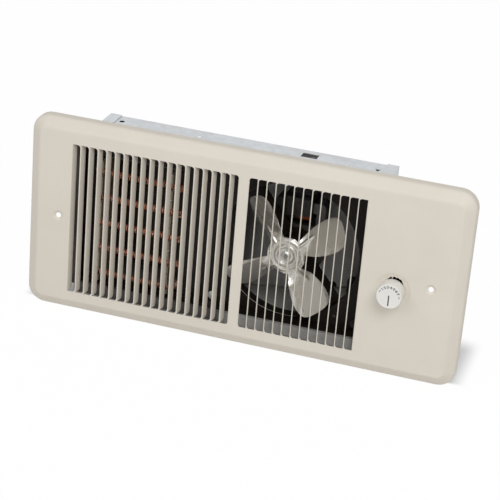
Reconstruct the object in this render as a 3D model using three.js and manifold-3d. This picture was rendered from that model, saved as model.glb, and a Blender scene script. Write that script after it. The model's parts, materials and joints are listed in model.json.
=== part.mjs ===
// Recessed fan-forced wall heater: enamelled cover, galvanised wall can, fan, motor, open-coil element.
// Millimetres. The origin is the middle of the finished wall face behind the cover.
// +X runs to the right along the wall, +Y into the wall, +Z up.

import * as THREE from 'three';
import { mergeVertices } from 'three/addons/utils/BufferGeometryUtils.js';
import Module from 'manifold-3d';

const wasm = await Module();
wasm.setup();

// ---------------------------------------------------------------- driving dimensions

const GAP = 0.3;                  // clearance between pieces that touch
const OVERCUT = 1;                // how far a cutter reaches past the material

// cover
const COVER_W = 494;
const COVER_H = 225;
const COVER_DEPTH = 18;           // from the wall to the cover's face
const COVER_T = 1.0;
const COVER_CORNER_R = 20;
const EDGE_INSET = 12;            // how far the rolled edge reaches in over the face
const EDGE_DROP = 8;              // how far the rolled edge falls back
const EDGE_STEPS = 5;
const CORNER_STEPS = 6;
const COVER_HOLE_INSET = 36.3;    // from the cover's ends to its screw holes
const COVER_HOLE_R = 2.9;
const DIMPLE_R = 6.5;
const DIMPLE_DEPTH = 0.55;
const SPACER_W = 8;
const SPACER_LENGTH = 68;
const SPACER_T = 1.0;

// louvers
const LOUVER_PITCH = 10.02;
const LEFT_LOUVERS = 19;
const RIGHT_LOUVERS = 13;
const GRILLE_LEFT_X = -196.6;
const GRILLE_MARGIN = 24.65;      // plain face above and below the louvers, on average
const GRILLE_Z = -1.2;
const CENTRE_BAR_W = 9.6;
const RIB_W = 1.1;
const SLOT_CORNER_R = 3.2;
const VANE_LENGTH = 9.2;
const VANE_ANGLE = 78;            // degrees from the cover's face
const VANE_T = 0.9;

// wall can
const CAN_W = 335;
const CAN_X = -28;
const CAN_H = 170;
const CAN_DEPTH = 95;
const CAN_T = 1.0;
const CAN_FLANGE = 11;
const CAN_TAB = 12;               // fold of an end panel over the can
const TAB_START_Y = 12;
const NAIL_HOLE_R = 2.6;
const NAIL_HOLE_Y = 30;
const NAIL_HOLE_Z = 55;
const TOP_HOLE = { r: 3.2, x: -177, y: 78.3 };
const RIVET_HOLE = { r: 2.2, x: -84.6, y: 78 };
const LANCE_HOLE = { r: 4.4, x: 121.3, y: 75 };
const CABLE_SLOT = { x: 43.2, w: 18.4, y: 79.7, d: 13.4 };
const KNOCKOUT_XS = [-150, 96];
const KNOCKOUT_Z = 52;
const KNOCKOUT_R = 11;
const KNOCKOUT_GROOVE_W = 1;
const KNOCKOUT_GROOVE_DEPTH = 0.5;

// chassis plate and the rails that carry it
const CHASSIS_Y = 20;
const CHASSIS_T = 1.2;
const CHASSIS_LIP = 17;           // lips turned towards the front
const CHASSIS_SIDE_GAP = 0.6;
const ORIFICE_R = 77.7;
const ORIFICE_LIP = 12;
const ORIFICE_LIP_T = 1.0;
const RAIL_T = 1.2;
const RAIL_DEPTH = 16;
const RAIL_START_X = -50;
const RAIL_TAB_W = 18;
const RAIL_TAB_H = 15;
const CHASSIS_SCREW_XS = [-38, 126];
const CHASSIS_SCREW_Z = 76;
const SCREW_R = 2;
const SCREW_HEAD_R = 3.6;
const SCREW_HEAD_H = 3.2;
const SCREW_WASHER_R = 5.2;
const SCREW_WASHER_T = 0.9;
const SCREW_PROUD = 1;            // thread that stands past the last piece a screw holds

// fan
const FAN_X = 46;
const FAN_Z = -3.8;
const FAN_R = 73;
const FAN_TIP_BOW = 5.7;
const FAN_BLADES = 4;
const FAN_PHASE = 33.6;             // degrees, centre line of the first blade
const FAN_Y = 4.5;                // middle of the sheet at the hub
const FAN_T = 1.0;
const FAN_PITCH = 37.5;             // degrees
const FAN_SET_BACK = 1.9;
const FAN_CAMBER = 0.4;
const FAN_HUB_R = 21;
const BLADE_ROOT_R = 17;          // where a blade's surface starts, inside the hub's disc
const BLADE_RISE = 18;            // radius over which a blade takes its pitch
// Edge angles in degrees from the blade's centre line; bow is the power of the way out along the blade.
const BLADE_LEADING = { root: -34.4, tip: -12.5, bow: 0.62 };
const BLADE_TRAILING = { root: 35.2, tip: 12.6, bow: 1.14 };
const FAN_RING_R = 11;
const FAN_RING_HALF_W = 2;
const FAN_RING_SLOPE = 2;
const FAN_RING_HEIGHT = 2;
const HUB_R = 4.8;
const HUB_FLANGE_R = 6.4;
const HUB_FLANGE_T = 2;
const HUB_L = 8;
const PUSH_NUT_R = 5.6;
const PUSH_NUT_NOSE_R = 3.4;
const PUSH_NUT_T = 2;
const SHAFT_R = 2.4;
const SHAFT_PROUD = 1;            // past the rear bearing

// motor
const MOTOR_Y = 46.6;             // front face of the laminations
const STACK_T = 20;
const STACK_W = 58;
const STACK_CORNER_R = 5;
const STACK_BELOW = 24.5;
const STACK_LEG_Z = 36;           // lower edge of the leg that the coil sits on
const STACK_LEG_H = 12;
const STACK_POLE_TOP = 20.5;
const STACK_SIDE_W = 10;
const ROTOR_R = 15.5;
const ROTOR_AIR_GAP = 0.7;
const BOBBIN_T = 1.2;
const WINDING_T = 7.5;
const WINDING_HALF = 14;
const WRAP_T = 0.8;
const COIL_CORNER_SHARE = 0.6;    // corner radius of a turn for each millimetre away from its leg
const BEARING_R = 5;
const BEARING_L = 9;
const CAP_Y = 15;                 // front of the stepped bearing housing
const CAP_NOSE_R = 11;
const CAP_MIDDLE_R = 14;
const CAP_SKIRT_R = 17;
const CAP_NOSE_L = 9;
const CAP_CHAMFER = 1;
const EAR_T = 2;
const EAR_H = 12;
const REAR_BOSS_R = 9;
const REAR_BOSS_L = 15;
const MOTOR_SCREW_X = 24;
const NUT_R = 3.8;
const NUT_T = 3;
const BRACKET_Y = 34.3;           // front face of the strap's bridge
const BRACKET_T = 1.5;
const BRACKET_W = 22;
const BRACKET_CLEARANCE = 1.8;    // between a leg and the orifice's lip
const BRACKET_EYE_R = 21;
const BRACKET_ANGLE = 130;        // degrees, arm to the upper left; the other arm is opposite
const BRACKET_FOOT = 11;

// element
const COIL_ROWS = 5;
const COIL_ROW_PITCH = 30.2;
const COIL_TOP_Z = 48.5;
const COIL_R = 3.8;
const COIL_FRONT_Y = 12.5;
const COIL_BACK_Y = 43;
const COIL_BEND = 8;              // how far a bend stands out past its board
const COIL_SLANT = 1;
const COIL_SIDES = 6;
const COIL_STEPS = 130;
const BOARD_LEFT_X = -171;
const BOARD_RIGHT_X = -89.5;
const BOARD_T = 3;
const BOARD_FRONT_EDGE = 6;       // board in front of the coil's centre line
const BOARD_BACK_EDGE = 9;
const BOARD_ABOVE = 14.5;
const BOARD_BELOW = 8;
const NOTCH_CLEARANCE = 0.7;
const ELEMENT_RAIL_T = 1.2;
const ELEMENT_RAIL_LEG = 16;
const TERMINAL_T = 1.2;
const TERMINAL_W = 9;
const TERMINAL_L = 12;
const WINDOW_MARGIN = 1.7;
const REFLECTOR_Y = 74;
const REFLECTOR_T = 0.6;
const REFLECTOR_X0 = -190;
const REFLECTOR_X1 = -70;
const REFLECTOR_HALF_H = 80;

// over-temperature cut-out
const LIMIT_X = -66;
const LIMIT_Y = 36;
const LIMIT_Z = 55;
const LIMIT_R = 8.5;
const LIMIT_L = 8.5;
const LIMIT_CAP_R = 7;
const LIMIT_CAP_L = 2.5;
const LIMIT_BRACKET_T = 1.2;
const LIMIT_BRACKET_W = 24;
const LIMIT_FOOT = 14;

// control box, thermostat and knob
const KNOB_X = 170.4;
const KNOB_Z = -9;
const KNOB_HOLE_R = 15.2;
const KNOB_R = 13.8;
const KNOB_SIDES = 32;
const KNOB_EDGE = 0.8;
const KNOB_PROUD = 17.6;
const KNOB_LENGTH = 27;
const KNOB_WALL = 1.8;
const KNOB_SOCKET_R = 5.5;
const POINTER_W = 1.0;
const POINTER_DEPTH = 0.5;
const CONTROL_W = 53;
const CONTROL_ABOVE = 41;
const CONTROL_BELOW = 43;
const CONTROL_DEPTH = 52;
const CONTROL_T = 1.0;
const PANEL_X0 = 151.8;
const PANEL_Y = -2.6;
const PANEL_T = 1.2;
const PANEL_LIP = 11;
const SPINDLE_R = 3;
const SPINDLE_GRIP = 17;          // spindle inside the knob
const THERMOSTAT_W = 34;
const THERMOSTAT_H = 30;
const THERMOSTAT_D = 24;
const THERMOSTAT_NECK_R = 4.7;
const THERMOSTAT_NUT_R = 7;
const THERMOSTAT_NUT_T = 2.2;

// wiring
const LEAD_R = 1.3;
const LEAD_SIDES = 6;
const LEAD_SPREAD = 2;            // two leads pass the bushing this far above and below its middle
const LEAD_STUB = 3;              // a lead leaves its connection straight for this length
const LEAD_PAIR_Z = 4;            // the cut-out's two leads lie this far above and below its middle
const CURVE_TENSION = 0.4;
const BUSHING_Y = 36;
const BUSHING_Z = 12;
const BUSHING_R = 7;
const BUSHING_FLANGE_R = 9;
const BUSHING_FLANGE_T = 1.2;
const BUSHING_BORE_R = 5;
const BUSHING_L = 3.6;
const BLOCK = { x: 115, w: 30, z: -65, h: 22, d: 14 };
const GROUND_SCREW_X = 80;
const GROUND_SCREW_Z = -70;

// roundness
const FINE_SIDES = 56;
const ROUND_SIDES = 20;
const SMALL_SIDES = 12;

// ---------------------------------------------------------------- values worked out from them

const FACE_Y = -COVER_DEPTH;
const CAN_LEFT_X = CAN_X - CAN_W / 2;
const CAN_RIGHT_X = CAN_X + CAN_W / 2;
const CAN_TOP_Z = CAN_H / 2;
const CAN_INNER_Z = CAN_TOP_Z - CAN_T;
const CAN_BACK_INNER_Y = CAN_DEPTH - CAN_T;
const END_LEFT_X = CAN_LEFT_X - CAN_T;
const END_RIGHT_X = CAN_RIGHT_X + CAN_T;
const COVER_HOLE_SPAN = COVER_W - 2 * COVER_HOLE_INSET;
const GRILLE_H = COVER_H - 2 * GRILLE_MARGIN;
const LEFT_BANK_W = LEFT_LOUVERS * LOUVER_PITCH;
const RIGHT_BANK_X = GRILLE_LEFT_X + LEFT_BANK_W + CENTRE_BAR_W;
const CHASSIS_BACK_Y = CHASSIS_Y + CHASSIS_T;
const CHASSIS_LIP_Y = CHASSIS_BACK_Y - CHASSIS_T - CHASSIS_LIP;
const CHASSIS_HALF_H = CAN_INNER_Z - CHASSIS_SIDE_GAP;
const CHASSIS_LEFT_X = CAN_LEFT_X + CHASSIS_SIDE_GAP;
const CHASSIS_RIGHT_X = CAN_RIGHT_X - CHASSIS_SIDE_GAP;
const BEHIND_CHASSIS_Y = CHASSIS_BACK_Y + GAP;
const ORIFICE_OUTER_R = ORIFICE_R + ORIFICE_LIP_T;
const SCREW_HOLE_R = SCREW_R + GAP;
const BORE_R = SHAFT_R + GAP;
const MOTOR_BACK_Y = MOTOR_Y + STACK_T;
const CAP_BACK_Y = MOTOR_Y - GAP;
const REAR_BRACKET_Y = MOTOR_BACK_Y + GAP;
const REAR_BEARING_Y = REAR_BRACKET_Y + REAR_BOSS_L - BEARING_L;
const BRACKET_BACK_Y = BRACKET_Y + BRACKET_T;
const CAP_SHOULDER_Y = BRACKET_BACK_Y + GAP;
const BRACKET_LEG_R = ORIFICE_OUTER_R + BRACKET_CLEARANCE;
const BRACKET_FOOT_R = BRACKET_LEG_R + BRACKET_T + BRACKET_FOOT;
const BRACKET_SCREW_R = BRACKET_FOOT_R - BRACKET_FOOT / 2;
const COIL_LEFT_X = BOARD_LEFT_X - COIL_BEND;
const COIL_RIGHT_X = BOARD_RIGHT_X + COIL_BEND;
const COIL_LAST_Z = COIL_TOP_Z - (COIL_ROWS - 1) * COIL_ROW_PITCH;
const BOARD_TOP_Z = COIL_TOP_Z + BOARD_ABOVE;
const BOARD_BOTTOM_Z = COIL_LAST_Z - BOARD_BELOW;
const BOARD_FRONT_Y = COIL_FRONT_Y - BOARD_FRONT_EDGE;
const BOARD_BACK_Y = COIL_BACK_Y + BOARD_BACK_EDGE;
const TERMINAL_Y = BEHIND_CHASSIS_Y + 2 * GAP;
const CONTROL_LEFT_X = END_RIGHT_X + GAP;
const CONTROL_RIGHT_X = CONTROL_LEFT_X + CONTROL_W;
const CONTROL_TOP_Z = KNOB_Z + CONTROL_ABOVE;
const CONTROL_BOTTOM_Z = KNOB_Z - CONTROL_BELOW;
const PANEL_BACK_Y = PANEL_Y + PANEL_T;
const THERMOSTAT_Y = PANEL_BACK_Y + GAP;
const THERMOSTAT_BACK_Y = THERMOSTAT_Y + THERMOSTAT_D;
const THERMOSTAT_NUT_Y = PANEL_Y - GAP - THERMOSTAT_NUT_T;
const KNOB_FACE_Y = FACE_Y - KNOB_PROUD;
const KNOB_BACK_Y = KNOB_FACE_Y + KNOB_LENGTH;
const BLOCK_BACK_Y = CAN_BACK_INNER_Y - GAP;
const BLOCK_Y = BLOCK_BACK_Y - BLOCK.d;
const LEFT_TERMINAL_X = BOARD_LEFT_X - BOARD_T / 2 - 2 * GAP - TERMINAL_T;
const RIGHT_TERMINAL_X = BOARD_RIGHT_X + BOARD_T / 2 + 2 * GAP + TERMINAL_T;
const LIMIT_BACK_X = LIMIT_X + LIMIT_BRACKET_T + GAP + LIMIT_L + GAP;
const TERMINAL_MID_Y = TERMINAL_Y + TERMINAL_L / 2 + TERMINAL_T;
const MOTOR_LEAD_X = FAN_X + WINDING_HALF + BOBBIN_T + GAP;
const MOTOR_LEAD_Y = MOTOR_BACK_Y + WINDING_T - 2 * BOBBIN_T;
const BLOCK_LEAD_Y = BLOCK_Y + BLOCK.d * 0.43;

const rad = THREE.MathUtils.degToRad;

// ---------------------------------------------------------------- materials

const MATERIALS = {
  enamel: { color: '#d6cec2', roughness: 0.45, metalness: 0 },
  galvanised: { color: '#c6c8ca', roughness: 0.5, metalness: 0.8 },
  blackSteel: { color: '#2b2623', roughness: 0.6, metalness: 0.3 },
  aluminium: { color: '#c9c6c0', roughness: 0.35, metalness: 0.9 },
  zinc: { color: '#cfd2d4', roughness: 0.3, metalness: 0.9 },
  laminations: { color: '#5a5652', roughness: 0.6, metalness: 0.7 },
  copper: { color: '#b46a48', roughness: 0.4, metalness: 0.8 },
  resistance: { color: '#b0694a', roughness: 0.45, metalness: 0.7 },
  bronze: { color: '#a07a48', roughness: 0.5, metalness: 0.8 },
  shaftSteel: { color: '#b8b8b8', roughness: 0.25, metalness: 0.95 },
  board: { color: '#8e877c', roughness: 0.8, metalness: 0 },
  blackPlastic: { color: '#1f1f20', roughness: 0.6, metalness: 0 },
  whitePlastic: { color: '#ebebe8', roughness: 0.35, metalness: 0 },
  leadBlack: { color: '#262626', roughness: 0.6, metalness: 0 },
  leadRed: { color: '#9a2b22', roughness: 0.6, metalness: 0 },
  leadWhite: { color: '#dedcd6', roughness: 0.6, metalness: 0 },
  greenZinc: { color: '#2f7a45', roughness: 0.5, metalness: 0.2 },
};

// ---------------------------------------------------------------- solids

// Merged triangles that face outwards; a turned profile's empty triangles on its axis are left out.
function outward(geometry) {
  const bare = geometry.clone();
  bare.deleteAttribute('normal');
  bare.deleteAttribute('uv');
  const merged = mergeVertices(bare, 1e-4);
  const position = merged.getAttribute('position');
  const source = merged.getIndex().array;
  const index = [];
  const corners = [0, 1, 2].map(() => new THREE.Vector3());
  let volume = 0;
  for (let i = 0; i < source.length; i += 3) {
    const [a, b, c] = source.slice(i, i + 3);
    if (a !== b && b !== c && c !== a) {
      corners.forEach((corner, k) => corner.fromBufferAttribute(position, source[i + k]));
      volume += corners[0].dot(corners[1].clone().cross(corners[2]));
      index.push(a, b, c);
    }
  }
  merged.setIndex(volume < 0 ? index.reverse() : index);
  return merged;
}

function solid(geometry) {
  const merged = outward(geometry);
  const vertProperties = new Float32Array(merged.getAttribute('position').array);
  const triVerts = new Uint32Array(merged.getIndex().array);
  return new wasm.Manifold(new wasm.Mesh({ numProp: 3, vertProperties, triVerts }));
}

function joined(first, ...others) {
  return others.reduce((whole, other) => whole.add(other), first);
}

function cut(first, ...others) {
  return others.reduce((whole, other) => whole.subtract(other), first);
}

function geometryOf(piece) {
  if (piece.isBufferGeometry) {
    return outward(piece);
  }
  const mesh = piece.getMesh();
  const geometry = new THREE.BufferGeometry();
  geometry.setAttribute('position', new THREE.BufferAttribute(mesh.vertProperties, 3));
  geometry.setIndex(new THREE.BufferAttribute(mesh.triVerts, 1));
  return geometry;
}

// A block between two corners; each pair of ends may come in either order.
function box(xa, xb, ya, yb, za, zb) {
  const block = new THREE.BoxGeometry(Math.abs(xb - xa), Math.abs(yb - ya), Math.abs(zb - za));
  return solid(block.translate((xa + xb) / 2, (ya + yb) / 2, (za + zb) / 2));
}

// Round rods along Y, X and Z.
function rodY(r, y0, y1, x = 0, z = 0, sides = ROUND_SIDES, rEnd = r) {
  const rod = new THREE.CylinderGeometry(rEnd, r, y1 - y0, sides);
  return solid(rod.translate(x, (y0 + y1) / 2, z));
}

function rodX(r, x0, x1, y, z, sides = ROUND_SIDES) {
  const rod = new THREE.CylinderGeometry(r, r, x1 - x0, sides);
  return solid(rod.rotateZ(-Math.PI / 2).translate((x0 + x1) / 2, y, z));
}

function rodZ(r, z0, z1, x, y, sides = SMALL_SIDES) {
  const rod = new THREE.CylinderGeometry(r, r, z1 - z0, sides);
  return solid(rod.rotateX(Math.PI / 2).translate(x, y, (z0 + z1) / 2));
}

// A cutter for a round hole along Y that passes well through from y0 to y1.
function holeY(r, y0, y1, x = 0, z = 0, sides = ROUND_SIDES) {
  return rodY(r, y0 - OVERCUT, y1 + OVERCUT, x, z, sides);
}

// A shape drawn in (x, z), as thick as from y0 to y1.
function plateY(shape, y0, y1, options = {}) {
  const settings = { depth: y1 - y0, bevelEnabled: false, curveSegments: 3, ...options };
  return new THREE.ExtrudeGeometry(shape, settings).rotateX(Math.PI / 2).translate(0, y1, 0);
}

// A shape drawn in (y, z), carried along X from x0 to x1.
function barX(shape, x0, x1) {
  const bar = new THREE.ExtrudeGeometry(shape, { depth: x1 - x0, bevelEnabled: false, curveSegments: 3 });
  const turn = new THREE.Matrix4().makeBasis(
    new THREE.Vector3(0, 1, 0),
    new THREE.Vector3(0, 0, 1),
    new THREE.Vector3(1, 0, 0),
  );
  return bar.applyMatrix4(turn).translate(x0, 0, 0);
}

// A turned piece about the Y axis from a profile of [radius, y] pairs.
function turned(profile, sides = ROUND_SIDES) {
  return solid(new THREE.LatheGeometry(profile.map(([r, y]) => new THREE.Vector2(r, y)), sides));
}

function polygon(points) {
  return new THREE.Shape(points.map(([a, b]) => new THREE.Vector2(a, b)));
}

function roundedRectangle(w, h, r, cx = 0, cy = 0) {
  const shape = new THREE.Shape();
  const [left, right, low, high] = [cx - w / 2, cx + w / 2, cy - h / 2, cy + h / 2];
  shape.moveTo(right - r, low);
  shape.absarc(right - r, low + r, r, -Math.PI / 2, 0);
  shape.absarc(right - r, high - r, r, 0, Math.PI / 2);
  shape.absarc(left + r, high - r, r, Math.PI / 2, Math.PI);
  shape.absarc(left + r, low + r, r, Math.PI, Math.PI * 1.5);
  return shape;
}

// A sheet of even thickness about a surface point(u, v), with u and v from 0 to 1.
function sheet(point, uSteps, vSteps, thickness) {
  const step = 1e-3;
  const front = [];
  const back = [];
  for (let i = 0; i <= uSteps; i += 1) {
    for (let j = 0; j <= vSteps; j += 1) {
      const [u, v] = [i / uSteps, j / vSteps];
      const alongU = point(u + step, v).sub(point(u - step, v));
      const alongV = point(u, v + step).sub(point(u, v - step));
      const lift = alongU.cross(alongV).normalize().multiplyScalar(thickness / 2);
      front.push(point(u, v).add(lift));
      back.push(point(u, v).sub(lift));
    }
  }
  const row = vSteps + 1;
  const count = front.length;
  const index = [];
  const quad = (a, b, c, d) => index.push(a, b, c, a, c, d);
  for (let i = 0; i < uSteps; i += 1) {
    for (let j = 0; j < vSteps; j += 1) {
      const a = i * row + j;
      quad(a, a + row, a + row + 1, a + 1);
      quad(count + a, count + a + 1, count + a + row + 1, count + a + row);
    }
  }
  for (let i = 0; i < uSteps; i += 1) {
    const near = i * row;
    const far = near + vSteps;
    quad(near, count + near, count + near + row, near + row);
    quad(far, far + row, count + far + row, count + far);
  }
  for (let j = 0; j < vSteps; j += 1) {
    const last = uSteps * row + j;
    quad(j, j + 1, count + j + 1, count + j);
    quad(last, count + last, count + last + 1, last + 1);
  }
  const geometry = new THREE.BufferGeometry().setFromPoints([...front, ...back]);
  return solid(geometry.setIndex(index));
}

// ---------------------------------------------------------------- cover

function coverBlank(inset) {
  const shape = roundedRectangle(COVER_W - 2 * inset, COVER_H - 2 * inset, COVER_CORNER_R - inset);
  return solid(plateY(shape, FACE_Y + inset + EDGE_DROP, COVER_DEPTH, {
    bevelEnabled: true,
    bevelThickness: EDGE_DROP,
    bevelSize: EDGE_INSET,
    bevelOffset: -EDGE_INSET,
    bevelSegments: EDGE_STEPS,
    curveSegments: CORNER_STEPS,
  }));
}

// A tongue from u = 0 to u = length, as high as the slots, with its two far corners rounded.
function tongue(length, height) {
  const shape = new THREE.Shape();
  const [low, high] = [-height / 2, height / 2];
  shape.moveTo(0, low);
  shape.lineTo(length - SLOT_CORNER_R, low);
  shape.quadraticCurveTo(length, low, length, low + SLOT_CORNER_R);
  shape.lineTo(length, high - SLOT_CORNER_R);
  shape.quadraticCurveTo(length, high, length - SLOT_CORNER_R, high);
  shape.lineTo(0, high);
  return shape;
}

// Puts a piece made for a hinge on its left in place, or mirrored for a hinge on its right.
function atHinge(geometry, hingeX, side) {
  return solid(geometry.scale(side, 1, 1).translate(hingeX, 0, GRILLE_Z));
}

function louver(hingeX, side) {
  const corner = { curveSegments: 2 };
  const [outY, inY] = [FACE_Y - OVERCUT, FACE_Y + COVER_T + OVERCUT];
  const slot = plateY(tongue(LOUVER_PITCH - RIB_W, GRILLE_H), outY, inY, corner);
  const vane = plateY(tongue(VANE_LENGTH, GRILLE_H - 2 * GAP), -VANE_T / 2, VANE_T / 2, corner);
  vane.rotateZ(rad(VANE_ANGLE)).translate(-VANE_T / 2, FACE_Y + COVER_T / 2, 0);
  return { slot: atHinge(slot, hingeX, side), vane: atHinge(vane, hingeX, side) };
}

// Both banks; a vane is bent at its slot's edge that lies away from the middle of the cover.
function louvers() {
  const bank = (count, startX, side) => Array.from(
    { length: count },
    (_, i) => louver(startX + i * LOUVER_PITCH, side),
  );
  return [
    ...bank(LEFT_LOUVERS, GRILLE_LEFT_X, 1),
    ...bank(RIGHT_LOUVERS, RIGHT_BANK_X + LOUVER_PITCH, -1),
  ];
}

function coverFace(inset, y0, y1) {
  const shape = roundedRectangle(COVER_W - 2 * inset, COVER_H - 2 * inset, COVER_CORNER_R - inset);
  return solid(plateY(shape, y0, y1, { curveSegments: CORNER_STEPS }));
}

// The cover's side walls and rolled edge, up to where the flat face starts.
function coverRim() {
  const behindWall = box(-COVER_W, COVER_W, 0, COVER_DEPTH + EDGE_DROP + OVERCUT, -COVER_H, COVER_H);
  const face = coverFace(EDGE_INSET, FACE_Y - OVERCUT, 0);
  return cut(coverBlank(0), coverBlank(COVER_T), behindWall, face);
}

function frontCover() {
  const plate = coverFace(EDGE_INSET + GAP, FACE_Y, FACE_Y + COVER_T);
  const openings = [holeY(KNOB_HOLE_R, FACE_Y, FACE_Y + COVER_T, KNOB_X, KNOB_Z)];
  for (const x of [-COVER_HOLE_SPAN / 2, COVER_HOLE_SPAN / 2]) {
    openings.push(holeY(COVER_HOLE_R, FACE_Y, FACE_Y + COVER_T, x, 0));
    openings.push(rodY(DIMPLE_R, FACE_Y - GAP, FACE_Y + DIMPLE_DEPTH, x, 0, ROUND_SIDES, COVER_HOLE_R));
  }
  const bank = louvers();
  const pierced = cut(plate, ...openings, ...bank.map((one) => one.slot));
  return joined(pierced, ...bank.map((one) => one.vane));
}

// A folded strip between an end panel's flange and the back of the cover.
function coverSpacer(side) {
  const outer = (side < 0 ? END_LEFT_X : END_RIGHT_X) + side * (CAN_FLANGE - CAN_T);
  const inner = outer - side * SPACER_W;
  const footY = -CAN_T - GAP;
  const padY = FACE_Y + COVER_T + GAP;
  const half = SPACER_LENGTH / 2;
  const foot = box(inner, outer, footY - SPACER_T, footY, -half, half);
  const web = box(outer - side * SPACER_T, outer, padY, footY, -half, half);
  const pad = box(inner, outer, padY, padY + SPACER_T, -half, half);
  return joined(foot, web, pad);
}

// ---------------------------------------------------------------- wall can

function canWrapper() {
  const [inner, outer] = [CAN_INNER_Z, CAN_TOP_Z];
  const rim = CAN_TOP_Z + CAN_FLANGE;
  const outline = polygon([
    [-CAN_T, inner], [-CAN_T, rim], [0, rim], [0, outer], [CAN_DEPTH, outer],
    [CAN_DEPTH, -outer], [0, -outer], [0, -rim], [-CAN_T, -rim], [-CAN_T, -inner],
    [CAN_BACK_INNER_Y, -inner], [CAN_BACK_INNER_Y, inner],
  ]);
  const body = solid(barX(outline, CAN_LEFT_X + GAP, CAN_RIGHT_X - GAP));
  const through = [inner - OVERCUT, outer + OVERCUT];
  const slotX = [CABLE_SLOT.x - CABLE_SLOT.w / 2, CABLE_SLOT.x + CABLE_SLOT.w / 2];
  const slotY = [CABLE_SLOT.y - CABLE_SLOT.d / 2, CABLE_SLOT.y + CABLE_SLOT.d / 2];
  const grooveY = CAN_DEPTH - KNOCKOUT_GROOVE_DEPTH;
  const grooves = KNOCKOUT_XS.map((x) => cut(
    rodY(KNOCKOUT_R, grooveY, CAN_DEPTH + OVERCUT, x, KNOCKOUT_Z),
    holeY(KNOCKOUT_R - KNOCKOUT_GROOVE_W, grooveY, CAN_DEPTH + OVERCUT, x, KNOCKOUT_Z),
  ));
  return cut(
    body,
    rodZ(TOP_HOLE.r, ...through, TOP_HOLE.x, TOP_HOLE.y),
    rodZ(RIVET_HOLE.r, ...through, RIVET_HOLE.x, RIVET_HOLE.y),
    rodZ(LANCE_HOLE.r, ...through, LANCE_HOLE.x, LANCE_HOLE.y, 3),
    box(...slotX, ...slotY, ...through),
    holeY(SCREW_HOLE_R, CAN_BACK_INNER_Y, CAN_DEPTH, GROUND_SCREW_X, GROUND_SCREW_Z, SMALL_SIDES),
    ...grooves,
  );
}

// An end panel: its tabs fold over the can's top and bottom, its front lip turns outwards.
function canEnd(side) {
  const inner = side < 0 ? CAN_LEFT_X : CAN_RIGHT_X;
  const outer = inner + side * CAN_T;
  const foldZ = CAN_TOP_Z + GAP;
  const topZ = foldZ + CAN_T;
  const tabEnd = inner - side * CAN_TAB;
  const panel = box(inner, outer, -CAN_T, CAN_DEPTH, -topZ, topZ);
  const lip = box(inner, outer + side * (CAN_FLANGE - CAN_T), -CAN_T, 0, -topZ, topZ);
  const tabs = [-1, 1].map((up) => box(tabEnd, outer, TAB_START_Y, CAN_DEPTH, up * foldZ, up * topZ));
  const through = [Math.min(inner, outer) - OVERCUT, Math.max(inner, outer) + OVERCUT];
  const holes = [-NAIL_HOLE_Z, NAIL_HOLE_Z].map(
    (z) => rodX(NAIL_HOLE_R, ...through, NAIL_HOLE_Y, z, SMALL_SIDES),
  );
  if (side > 0) {
    holes.push(rodX(BUSHING_R + GAP, ...through, BUSHING_Y, BUSHING_Z));
  }
  return cut(joined(panel, lip, ...tabs), ...holes);
}

// A strip along the can's top or bottom with two upright tabs for the chassis screws.
function canRail(up) {
  const wallZ = up * (CAN_INNER_Z - GAP);
  const backY = BEHIND_CHASSIS_Y + RAIL_DEPTH;
  const strip = box(RAIL_START_X, CHASSIS_RIGHT_X, BEHIND_CHASSIS_Y, backY, wallZ, wallZ - up * RAIL_T);
  const tabY = [BEHIND_CHASSIS_Y, BEHIND_CHASSIS_Y + RAIL_T];
  const tabs = CHASSIS_SCREW_XS.map((x) => box(
    x - RAIL_TAB_W / 2, x + RAIL_TAB_W / 2, ...tabY, wallZ, wallZ - up * RAIL_TAB_H,
  ));
  const clearOfOrifice = holeY(ORIFICE_OUTER_R + GAP, BEHIND_CHASSIS_Y, backY, FAN_X, FAN_Z, FINE_SIDES);
  const holes = CHASSIS_SCREW_XS.map(
    (x) => holeY(SCREW_HOLE_R, ...tabY, x, up * CHASSIS_SCREW_Z, SMALL_SIDES),
  );
  return cut(joined(strip, ...tabs), clearOfOrifice, ...holes);
}

// ---------------------------------------------------------------- chassis plate

function bracketFeet() {
  return [BRACKET_ANGLE, BRACKET_ANGLE + 180].map(
    (angle) => [BRACKET_SCREW_R * Math.cos(rad(angle)), BRACKET_SCREW_R * Math.sin(rad(angle))],
  );
}

function chassisPlate() {
  const half = CHASSIS_HALF_H;
  const tray = cut(
    box(CHASSIS_LEFT_X, CHASSIS_RIGHT_X, CHASSIS_LIP_Y, CHASSIS_BACK_Y, -half, half),
    box(
      CHASSIS_LEFT_X + CHASSIS_T, CHASSIS_RIGHT_X - CHASSIS_T, CHASSIS_LIP_Y - OVERCUT, CHASSIS_Y,
      -half + CHASSIS_T, half - CHASSIS_T,
    ),
  );
  const orifice = holeY(ORIFICE_R, CHASSIS_Y, CHASSIS_BACK_Y, FAN_X, FAN_Z, FINE_SIDES);
  const reach = COIL_R + WINDOW_MARGIN;
  const window = box(
    COIL_LEFT_X - reach, COIL_RIGHT_X + reach, CHASSIS_Y - OVERCUT, CHASSIS_BACK_Y + OVERCUT,
    BOARD_BOTTOM_Z - GAP, BOARD_TOP_Z + WINDOW_MARGIN,
  );
  const screwPlaces = CHASSIS_SCREW_XS.flatMap((x) => [[x, -CHASSIS_SCREW_Z], [x, CHASSIS_SCREW_Z]]);
  const footPlaces = bracketFeet().map(([x, z]) => [x + FAN_X, z + FAN_Z]);
  const holes = [...screwPlaces, ...footPlaces].map(
    ([x, z]) => holeY(SCREW_HOLE_R, CHASSIS_Y, CHASSIS_BACK_Y, x, z, SMALL_SIDES),
  );
  return cut(tray, orifice, window, ...holes);
}

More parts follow.
